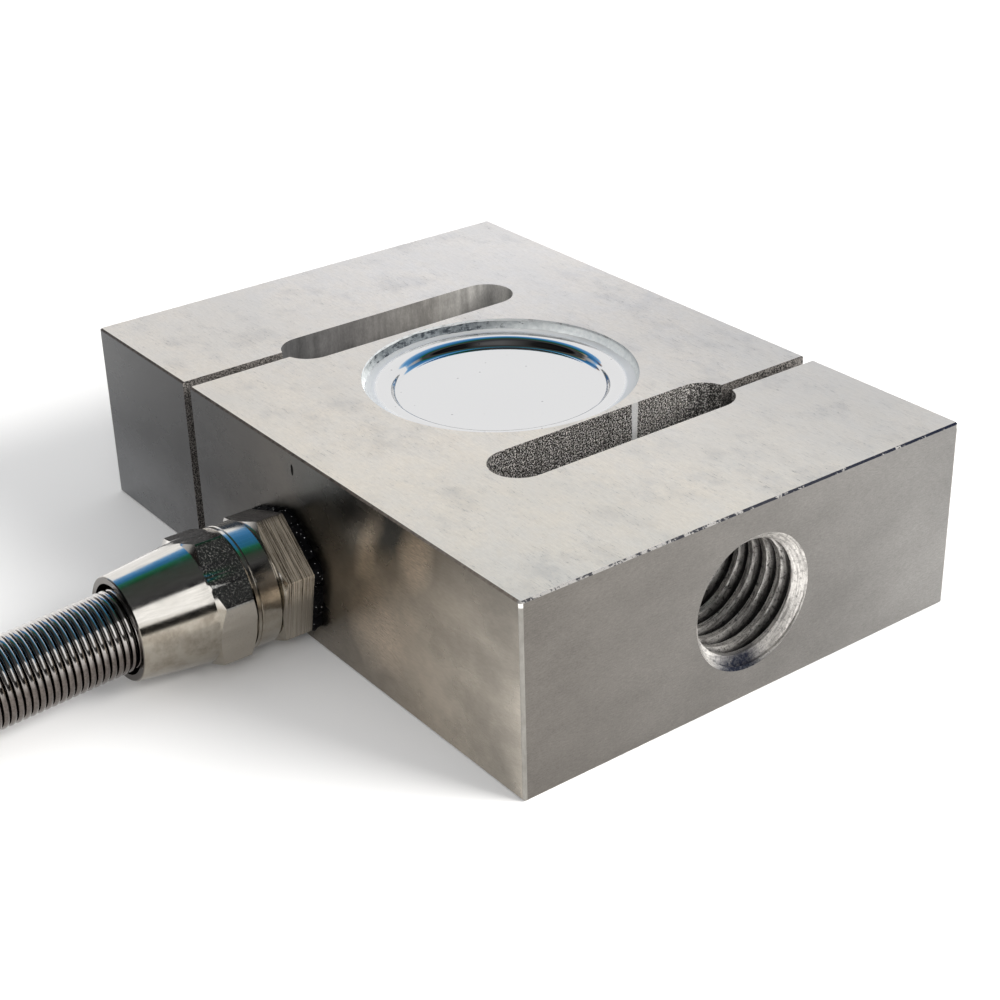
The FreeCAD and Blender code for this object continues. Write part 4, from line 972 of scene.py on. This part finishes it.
def make_gland_cap():
    """The cap: a skirt with its line, a hexagon with two chamfers and a tapered nose."""
    line = CAP_HEX_START - 0.55
    rows = [
        (SKIRT_START, 7.0),
        (SKIRT_START, 8.12),
        (SKIRT_START + 0.16, 8.3),
        (line - 0.14, 8.3),
        (line, 8.12),
        (line + 0.12, 8.28),
        (CAP_HEX_START - 0.02, 8.28),
        (CAP_HEX_START, 7.95),
        hex_edge(CAP_HEX_START, 1, CAP_TURN, start=7.95),
        hex_edge(CAP_HEX_END, -1, CAP_TURN),
        (CAP_HEX_END, 8.05),
        (CAP_HEX_END + 0.25, 8.02),
        (NOSE_END - 0.15, 6.88),
        (NOSE_END, 6.72),
        (NOSE_END, 5.95),
        (NOSE_END - 6.5, 5.9),
        (NOSE_END - 6.5, 3.4),
        (NOSE_END - 8.0, 3.4),
        (NOSE_END - 8.0, 7.0),
        (SKIRT_START, 7.0),
    ]
    return make_turned("gland_cap_piece", "gland_cap", rows, 8, peel_plate)


SEAL_AROUND, SEAL_SECTION = 300, 8
SEAL_ACROSS, SEAL_INNER, SEAL_ROUND = 16.2, 6.15, 1.6
# The seal stays this far above the floor
SEAL_CLEAR = 0.06


def make_seal():
    """The squeezed seal: a rough, lumpy ring that follows the hexagon."""
    lowest = GLAND_Z - SEAL_CLEAR
    points = []
    for angle in full_turn(SEAL_AROUND):
        edge = hexagon_radius(angle, SEAL_ACROSS, BODY_TURN, [SEAL_ROUND] * 6)
        for part in range(SEAL_SECTION + 1):
            share = part / SEAL_SECTION
            spot = Vector((math.cos(angle) * 9.0, share * 2.0, math.sin(angle) * 9.0))
            lump = 0.30 * noise.noise(spot * 0.9) + 0.16 * noise.noise(spot * 3.1)
            radius = edge + min(0.10 * math.sin(math.pi * share) + lump, 0.38)
            if radius * math.sin(angle) < -lowest:
                radius = -lowest / math.sin(angle)
            points.append(gland_point(BODY_HEX_START * share, radius, angle))
        for along in (BODY_HEX_START, 0.0):
            points.append(gland_point(along, SEAL_INNER, angle))
    faces = grid_faces(SEAL_AROUND, SEAL_SECTION + 3, True, True)
    return whole_piece("seal_piece", "gland_seal", points, faces, 50, black_seal())


# The spring guard, wound from flat wire

GUARD_R = 5.35
GUARD_LENGTH = 38.8
GUARD_TURNS = 40
GUARD_DROOP = math.radians(3.8)
GUARD_ROOT_OUT = 17.09
GUARD_PIVOT = 5.0
GUARD_AROUND = 56
# The wire's section: share of the pitch along the guard, and depth below its outside
WIRE_SECTION = [
    (0.05, 1.05), (0.03, 0.42), (0.05, 0.26), (0.11, 0.14), (0.21, 0.05), (0.34, 0.01),
    (0.46, 0.0), (0.58, 0.01), (0.71, 0.05), (0.81, 0.14), (0.87, 0.26), (0.89, 0.42),
    (0.87, 1.05),
]


def make_guard():
    """One long helix with rounded outer edges, its far end cut square."""
    root_z = GLAND_Z + GUARD_PIVOT * math.tan(GUARD_DROOP)
    root = Vector((0.0, SIDE_Y - GUARD_ROOT_OUT, root_z))
    out = Vector((0.0, -math.cos(GUARD_DROOP), -math.sin(GUARD_DROOP)))
    up = Vector((0.0, -math.sin(GUARD_DROOP), math.cos(GUARD_DROOP)))
    pitch = GUARD_LENGTH / (GUARD_TURNS + 1)
    points = []
    rows = GUARD_TURNS * GUARD_AROUND + 1
    for step in range(rows):
        turn = step / GUARD_AROUND
        angle = -2 * math.pi * turn
        away = Vector((math.cos(angle), 0.0, 0.0)) + up * math.sin(angle)
        for along, depth in WIRE_SECTION:
            points.append(root + out * (pitch * (turn + along)) + away * (GUARD_R - depth))
    count = len(WIRE_SECTION)
    faces = grid_faces(rows, count, round_across=True) + end_faces(rows, count)
    finish = spring_steel()
    return whole_piece("guard_piece", "spring_guard", points, faces, 35, finish)


# The cable: one line from inside the port, through the guard, to the coil on the floor

CABLE_ROUTE = [
    (0.0, -29.0, 8.95), (0.0, -57.0, 8.95), (0.0, -85.5, 7.0), (0.0, -100.0, 5.2),
    (0.0, -112.0, 2.5), (0.0, -121.0, 2.5), (0.0, -131.0, 2.5),
]
COIL_MIDDLE = Vector((-37.2, -141.0, 0.0))
COIL_OUTER = 37.2
COIL_PITCH = 5.05
COIL_COLUMNS = 4
COIL_LAYERS = 4
COIL_STEPS = 18
# Where a turn crosses over to the next column, and where it climbs, in degrees
CROSS_FROM, CROSS_TO = 230.0, 308.0
CLIMB_FROM, CLIMB_TO = 308.0, 356.0
# The open end's ring and height, lying on the coil's step
SLEEVE_RING = 37.53
SLEEVE_HEIGHT = 17.83


def eased(share):
    share = clamped(share)
    return share * share * (3 - 2 * share)


def coil_lane(turn):
    """How far out and how high a turn lies; after the last one comes the sleeve."""
    if turn == COIL_COLUMNS * COIL_LAYERS - 1:
        return SLEEVE_RING, SLEEVE_HEIGHT
    layer, place = divmod(turn, COIL_COLUMNS)
    column = place if layer % 2 == 0 else COIL_COLUMNS - 1 - place
    return COIL_OUTER - COIL_PITCH * column, CABLE_R * (2 * layer + 1)


def coil_point(angle, radius, height):
    """A point of the coil, clockwise seen from above."""
    turned = math.radians(-angle)
    x = COIL_MIDDLE.x + radius * math.cos(turned)
    return x, COIL_MIDDLE.y + radius * math.sin(turned), height


def coil_points():
    """The coil's turns: each crosses to the next column, or climbs to the next layer."""
    widen = 1 / math.cos(math.pi / COIL_STEPS)
    points = []
    for step in range(1, (COIL_COLUMNS * COIL_LAYERS - 1) * COIL_STEPS + 1):
        turn, place = divmod(step, COIL_STEPS)
        angle = 360 * place / COIL_STEPS
        lane, height = coil_lane(turn)
        next_lane, next_height = coil_lane(turn + 1)
        lane += (next_lane - lane) * eased((angle - CROSS_FROM) / (CROSS_TO - CROSS_FROM))
        climb = eased((angle - CLIMB_FROM) / (CLIMB_TO - CLIMB_FROM))
        height += (next_height - height) * climb
        points.append(coil_point(angle, lane * widen, height))
    points.append(coil_point(14.0, SLEEVE_RING * widen, SLEEVE_HEIGHT))
    return points


def line_piece(name, points, radius, material):
    """A NURBS tube along points in millimetres."""
    curve = bpy.data.curves.new(name, "CURVE")
    curve.dimensions = "3D"
    curve.bevel_depth = radius * MM
    curve.bevel_resolution = 6
    curve.use_fill_caps = True
    curve.resolution_u = 4
    spline = curve.splines.new("NURBS")
    spline.points.add(len(points) - 1)
    for point, place in zip(spline.points, points):
        point.co = (*(Vector(place) * MM), 1.0)
    spline.order_u = 3
    spline.use_endpoint_u = True
    return new_piece(name, curve, material)


def make_cable():
    route = CABLE_ROUTE + coil_points()
    piece = line_piece("cable_piece", route, CABLE_R, jacket)
    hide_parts("cable", "cable_coil")
    return piece


# The shrunk sleeve: angle along the coil and radius
SLEEVE_OUTLINE = [
    (0.15, 2.52), (0.2, 2.66), (0.9, 2.74), (4.0, 2.74), (10.5, 2.74), (12.5, 2.66),
    (14.5, 2.34), (17.0, 2.05), (21.2, 1.98), (21.8, 1.92), (21.85, 1.55),
]
SLEEVE_AROUND = 40


def make_sleeve():
    """A sleeve shrunk over the jacket's end and down onto the cores."""
    points = []
    for along, radius in SLEEVE_OUTLINE:
        middle = Vector(coil_point(along, SLEEVE_RING, SLEEVE_HEIGHT))
        outwards = ((middle - COIL_MIDDLE) * Vector((1, 1, 0))).normalized()
        for angle in full_turn(SLEEVE_AROUND):
            spot = middle / 3 + outwards * math.cos(angle)
            wobble = 0.04 * noise.noise(spot + Vector((0, 0, angle)))
            away = outwards * math.cos(angle) + Vector((0, 0, math.sin(angle)))
            points.append(middle + away * (radius - abs(wobble)))
    rows = len(SLEEVE_OUTLINE)
    faces = grid_faces(rows, SLEEVE_AROUND, round_across=True) + end_faces(rows, SLEEVE_AROUND)
    finish = plastic("sleeve_black", (0.016, 0.016, 0.017), 0.30, 1.5, 0.03)
    return whole_piece("sleeve_piece", "end_sleeve", points, faces, 35, finish)


CORE_R = 0.65
TIP_R = 0.42
DRAIN_R = 0.40
APART = 0.69
LANE = 36.23
SHELF = 15.0
# Each core's colour, its place to the side and upwards, and its reach in degrees
CORE_COLOURS = {
    "red": ((0.58, 0.03, 0.025), -APART, 0.0, 52),
    "black": ((0.018, 0.018, 0.018), APART, 0.0, 52),
    "green": ((0.02, 0.26, 0.08), -APART, 2 * APART, 49),
    "white": ((0.80, 0.80, 0.78), APART, 2 * APART, 49),
}
CORE_LEVEL = SHELF + CORE_R + 0.08
SLEEVE_END = 22.0
TIP_ANGLE = 8.5
# The drain wire's way along the coil's step: angle past the sleeve, radius and height
DRAIN_LANE = LANE + APART + CORE_R + 0.48
DRAIN_ROUTE = [
    (-0.5, SLEEVE_RING + 1.4, SLEEVE_HEIGHT - 1.1), (5, SLEEVE_RING + 1.2, SLEEVE_HEIGHT - 1.8),
    (13, DRAIN_LANE, SHELF + 0.48), (24, DRAIN_LANE, SHELF + 0.48), (38, DRAIN_LANE, SHELF + 0.48),
]


def core_route(side, lift, until):
    """A core's way out of the sleeve, down and along the coil's step."""
    route = [
        (-1.5, SLEEVE_RING + side, SLEEVE_HEIGHT - APART + lift),
        (4, SLEEVE_RING - 0.4 + side, SLEEVE_HEIGHT - 1.3 + lift),
    ]
    angles = [angle for angle in range(12, 60, 9) if angle < until] + [until]
    return route + [(angle, LANE + side, CORE_LEVEL + lift) for angle in angles]


def end_line(name, route, radius, material):
    """A core, tip or wire along points given from the sleeve's end."""
    points = [coil_point(SLEEVE_END + angle, lane, height) for angle, lane, height in route]
    return line_piece(name, points, radius, material)


def make_cores():
    """Four insulated cores with tinned ends, and the drain wire."""
    pieces = []
    for name, (colour, side, lift, arc) in CORE_COLOURS.items():
        skin = plastic(f"core_skin_{name}", colour, 0.32, 1.2, 0.01)
        until = arc - TIP_ANGLE
        route = core_route(side, lift, until)
        core = end_line(f"core_{name}_skin", route, CORE_R, skin)
        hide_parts(f"core_{name}")
        tip_route = [
            (until - 1 + part, LANE + side, CORE_LEVEL + lift)
            for part in (0, 4.5, TIP_ANGLE + 0.6)
        ]
        tip = end_line(f"core_{name}_tip", tip_route, TIP_R, tinned)
        pieces += [core, tip]
    drain = end_line("drain_piece", DRAIN_ROUTE, DRAIN_R, tinned)
    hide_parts("drain_wire")
    return pieces + [drain]


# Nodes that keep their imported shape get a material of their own

def dress_nodes():
    """Materials for the pieces inside the block and the gland."""
    film = plastic("gauge_film", (0.66, 0.40, 0.12), 0.35, 3.0, 0.01)
    coating = plastic("clear_coating", (0.78, 0.78, 0.74), 0.30, 0.8, 0.02)
    board = plastic("board_green", (0.05, 0.22, 0.12), 0.4, 2.5, 0.01)
    winding = plastic("resistor_enamel", (0.10, 0.10, 0.12), 0.3, 4.0, 0.03)
    cores = plastic("inner_core_skin", (0.66, 0.66, 0.64), 0.4, 2.0, 0.01)
    grommet = plastic("grommet_rubber", (0.02, 0.02, 0.02), 0.6, 2.0, 0.03)
    enamel = Shader("enamelled_copper", (0.62, 0.30, 0.14), 0.3)
    copper = enamel.done(enamel.mix(enamel.noise(3.0), (0.70, 0.36, 0.18), (0.50, 0.22, 0.10)))
    finishes = [
        (film, "strain_gauge_upper", "strain_gauge_lower"),
        (coating, "gauge_coating_upper", "gauge_coating_lower"),
        (board, "terminal_board"),
        (winding, "balance_resistor", "span_resistor"),
        (cores, "inner_cores"),
        (copper, "upper_gauge_leads", "lower_gauge_leads"),
        (grommet, "gland_grommet"),
        (turned, "gland_clamp_ring"),
    ]
    for material, *names in finishes:
        for name in names:
            mesh = nodes[name].data
            mesh.materials.clear()
            mesh.materials.append(material)


# The studio: a pale floor, a white surround, soft lamps and dark cards for the metal

FLOOR_HALF = 60.0
CARD_DISTANCE = 2.4
# The surround's far side, away from the camera, and what is square to it
FAR_SIDE = Vector((-0.806, 0.591, 0.0))
ACROSS = Vector((0.591, 0.806, 0.0))
# The card over the part: angle up from the far side, and its colour there
CARD_ROWS = [
    (37, (0.55, 0.72, 0.88)), (40, (0.14, 0.36, 0.66)), (48, (0.05, 0.20, 0.44)),
    (55, (0.02, 0.13, 0.28)), (58, (0.02, 0.15, 0.06)), (66, (0.012, 0.06, 0.03)),
    (70, (0.045, 0.055, 0.045)), (84, (0.060, 0.060, 0.062)), (94, (0.030, 0.031, 0.036)),
    (112, (0.070, 0.070, 0.072)), (130, (0.105, 0.105, 0.105)), (160, (0.12, 0.12, 0.12)),
    (176, (0.06, 0.055, 0.05)),
]
# Past this row the card turns black to both sides, between these angles
DIM_ABOVE = 90
DIM_FROM, DIM_TO, DIMMED = 15.0, 30.0, 0.12
# From this angle to the side, its first rows are grey
GREY_FROM = 64
# Single spots of colour, by row and column
CARD_SPOTS = {
    (37, -38): (0.50, 0.27, 0.14), (40, -38): (0.46, 0.24, 0.12),
    (40, -46): (0.03, 0.03, 0.04), (58, -46): (0.42, 0.34, 0.31),
    (58, -56): (0.42, 0.34, 0.31), (66, -46): (0.30, 0.20, 0.16),
    (70, -38): (0.16, 0.10, 0.08),
}
# How much higher the rows lie from one side angle to another, on the +Y side, and over
# which of the first and the last degrees upwards that rise grows and fades
CARD_RISE = 17.0
RISE_FROM, RISE_TO = -2.0, 15.0
RISE_GROWS, RISE_FADES = 15, 70
# How much lower its first rows reach at its two ends, where that starts on each side,
# and over which of the first degrees upwards it fades
CARD_DROP = 18.0
DROP_FROM, DROP_FROM_Y, DROP_OVER = 32.0, 52.0, 14.0
DROP_FADES = 20
# How far the card goes to the sides, and the colours that its two ends turn into
CARD_COLUMNS = [
    (-88, (0.85, 0.87, 0.90)), (-84, (0.06, 0.20, 0.45)), (-80, (0.36, 0.20, 0.12)),
    (-76, (0.02, 0.02, 0.025)), (-70, (0.10, 0.06, 0.04)),
    *((side, None) for side in (-64, -56, -46, -38, -30, -2, 6, 15, 30, 52, 60, 66, 76)),
    (79, (0.02, 0.12, 0.06)), (83, (0.03, 0.16, 0.38)), (90, (0.08, 0.28, 0.56)),
]
# The ends' colours are only for the part of the card on the camera's side
CARD_NEAR = 120


def card_point(up, side):
    """A point of the surround, by its angle up from the far side and to the side."""
    lift, swing = math.radians(up), math.radians(side)
    flat = FAR_SIDE * math.cos(lift) + Vector((0, 0, math.sin(lift)))
    return (flat * math.cos(swing) + ACROSS * math.sin(swing)) * CARD_DISTANCE


def raised(up, side):
    """The height of one of the card's rows at an angle to the side."""
    past = up - CARD_ROWS[0][0]
    left = CARD_ROWS[-1][0] - up
    share = clamped((side - RISE_FROM) / (RISE_TO - RISE_FROM))
    rise = CARD_RISE * share * clamped(min(past / RISE_GROWS, left / RISE_FADES))
    out_from = DROP_FROM if side < 0 else DROP_FROM_Y
    outwards = clamped((abs(side) - out_from) / DROP_OVER)
    return up + rise - CARD_DROP * outwards * clamped(1.0 - past / DROP_FADES)


def card_colour(up, side, row_colour, end_colour):
    """The card's colour at one of its points."""
    if (up, side) in CARD_SPOTS:
        return CARD_SPOTS[up, side]
    if end_colour is not None and up > CARD_NEAR:
        return end_colour
    if up > DIM_ABOVE:
        share = clamped((abs(side) - DIM_FROM) / (DIM_TO - DIM_FROM))
        return [part * (1.0 - (1.0 - DIMMED) * share) for part in row_colour]
    if abs(side) >= GREY_FROM:
        return [max(row_colour)] * 3
    return row_colour


def make_card():
    """A curved dark card high over the part, seen only in its reflections."""
    points = []
    colours = []
    for up, row_colour in CARD_ROWS:
        for side, end_colour in CARD_COLUMNS:
            points.append(card_point(raised(up, side), side))
            colours.append(card_colour(up, side, row_colour, end_colour))
    show_in_reflections("dark_card", points, colours, len(CARD_COLUMNS))


# A bright card beside the gland's nose: its section across X and Z, and its reach along Y
GLEAM_SECTION = [(34.6, 21.5), (31.1, 29.3), (26.1, 35.4), (21.6, 39.0)]
GLEAM_REACH = [-72.0, -58.0, -44.0]
GLEAM_COLOUR = (1.15, 1.15, 1.14)


def make_gleam():
    """What the nose and the spring mirror as a bright band along them."""
    points = [Vector((x, y, z)) * MM for x, z in GLEAM_SECTION for y in GLEAM_REACH]
    show_in_reflections("bright_card", points, [GLEAM_COLOUR] * len(points), len(GLEAM_REACH))


def show_in_reflections(name, points, colours, wide):
    """A glowing sheet from rows of points, hidden from the camera and casting no light."""
    mesh = bpy.data.meshes.new(name)
    mesh.from_pydata(points, [], grid_faces(len(points) // wide, wide))
    layer = mesh.color_attributes.new("card_colour", "FLOAT_COLOR", "POINT")
    for spot, colour in zip(layer.data, colours):
        spot.color = (*colour, 1.0)
    material = bpy.data.materials.new(f"{name}_paint")
    material.use_nodes = True
    tree = material.node_tree
    tree.nodes.clear()
    glow = tree.nodes.new("ShaderNodeEmission")
    surface = tree.nodes.new("ShaderNodeOutputMaterial").inputs["Surface"]
    tree.links.new(glow.outputs["Emission"], surface)
    paint = tree.nodes.new("ShaderNodeVertexColor")
    paint.layer_name = "card_colour"
    tree.links.new(paint.outputs["Color"], glow.inputs["Color"])
    mesh.materials.append(material)
    card = placed(name, mesh)
    card.visible_camera = False
    card.visible_diffuse = False
    card.visible_shadow = False


# Between these distances from the origin, in mm, the floor turns white to the camera
WHITE_FROM, WHITE_AT = 900.0, 1500.0
# How far the floor lies under the part, in mm
FLOOR_GAP = 0.02


def make_floor():
    mesh = bpy.data.meshes.new("floor")
    corners = [(-1, -1, 0), (1, -1, 0), (1, 1, 0), (-1, 1, 0)]
    mesh.from_pydata([Vector(c) * FLOOR_HALF for c in corners], [], [(0, 1, 2, 3)])
    floor = placed("floor", mesh)
    floor.location.z = -FLOOR_GAP * MM
    paint = Shader("floor_paint", 0.93, 0.8, 0.0)
    paint.set("Specular IOR Level", 0.2)
    tint = paint.noise(0.004, 2.0, 0.5)
    mesh.materials.append(paint.done(paint.mix(tint, 0.92, 0.94)))
    fade_to_white(paint)


def fade_to_white(paint):
    """Far from the part, the camera sees the floor as white as the background."""
    far = paint.span(paint.vectors("LENGTH", paint.place()), WHITE_FROM, WHITE_AT)
    share = paint.times(far, paint.add("ShaderNodeLightPath").outputs["Is Camera Ray"])
    white = paint.add("ShaderNodeEmission", Color=1.0, Strength=1.0)
    mixed = paint.add("ShaderNodeMixShader", Fac=share)
    paint.join(paint.shader.outputs["BSDF"], mixed.inputs[1])
    paint.join(white.outputs["Emission"], mixed.inputs[2])
    paint.join(mixed.outputs["Shader"], paint.tree.nodes["Material Output"].inputs["Surface"])


# How bright the surround is as a source of light, and where it is seen
SURROUND_LIGHT, SURROUND_SEEN = 0.66, 1.0


def make_world():
    """White where the camera or a reflection sees it, and softer as a source of light."""
    world = bpy.data.worlds.new("surround")
    bpy.context.scene.world = world
    world.use_nodes = True
    tree = world.node_tree
    background = tree.nodes["Background"]
    background.inputs["Color"].default_value = (1.0, 1.0, 1.0, 1.0)
    path = tree.nodes.new("ShaderNodeLightPath")
    seen = path.outputs["Is Camera Ray"]
    for name in ("Is Glossy Ray", "Is Transmission Ray"):
        either = tree.nodes.new("ShaderNodeMath")
        either.operation = "MAXIMUM"
        tree.links.new(seen, either.inputs[0])
        tree.links.new(path.outputs[name], either.inputs[1])
        seen = either.outputs[0]
    level = tree.nodes.new("ShaderNodeMapRange")
    level.inputs["To Min"].default_value = SURROUND_LIGHT
    level.inputs["To Max"].default_value = SURROUND_SEEN
    tree.links.new(seen, level.inputs["Value"])
    tree.links.new(level.outputs["Result"], background.inputs["Strength"])


# Each lamp's name, direction from the part, distance, width, height, power and colour
LAMPS = [
    ("key_lamp", (0.66, 0.53, 0.46), 1.8, 1.1, 0.8, 56.0, (1.0, 0.985, 0.96)),
    ("near_lamp", (0.70, -0.47, 0.55), 2.2, 0.9, 0.9, 13.0, (1.0, 1.0, 1.0)),
]


def make_lamps():
    """Soft rectangular lamps that face the part and aren't seen in its reflections."""
    for name, direction, distance, width, height, power, colour in LAMPS:
        light = bpy.data.lights.new(name, "AREA")
        light.shape = "RECTANGLE"
        light.size, light.size_y = width, height
        light.energy = power
        light.color = colour
        lamp = placed(name, light)
        way = Vector(direction).normalized()
        lamp.location = way * distance
        lamp.rotation_mode = "QUATERNION"
        lamp.rotation_quaternion = way.to_track_quat("Z", "Y")
        lamp.visible_glossy = False


CAMERA_PLACE = (191.148, -140.677, 132.116)
CAMERA_TURN = (62.1658, 1.4506, 53.0112)
CAMERA_LENS = 68.838
CAMERA_SENSOR = 36.0


def make_camera():
    data = bpy.data.cameras.new("photo_camera")
    data.lens = CAMERA_LENS
    data.sensor_width = CAMERA_SENSOR
    data.sensor_fit = "HORIZONTAL"
    data.clip_start = 0.01
    data.clip_end = 100.0
    camera = placed("photo_camera", data)
    camera.location = Vector(CAMERA_PLACE) * MM
    camera.rotation_euler = [math.radians(angle) for angle in CAMERA_TURN]
    bpy.context.scene.camera = camera


make_camera()
jacket = plastic("jacket_rubber", (0.022, 0.022, 0.024), 0.42, 1.6, 0.03)
tinned = tinned_wire()
cable = make_cable()
sleeve = make_sleeve()
cores = make_cores()
mirror = mirror_steel()
milled_plate = plated_brass("milled_plate", True)
peel_plate = plated_brass("peel_plate", False)
turned = turned_plate()
make_block()
make_cover("cover_top_piece", "cover_top", True)
make_cover("cover_bottom_piece", "cover_bottom", False)
make_bead("bead_top_piece", "cover_bead_top", True)
make_bead("bead_bottom_piece", "cover_bead_bottom", False)
gland = [make_seal(), make_gland_body(), make_gland_cap(), make_guard()]
gland += [nodes["gland_grommet"], nodes["gland_clamp_ring"]]
dress_nodes()
make_floor()
make_card()
make_gleam()
make_world()
make_lamps()
bpy.context.scene.view_settings.view_transform = "Standard"
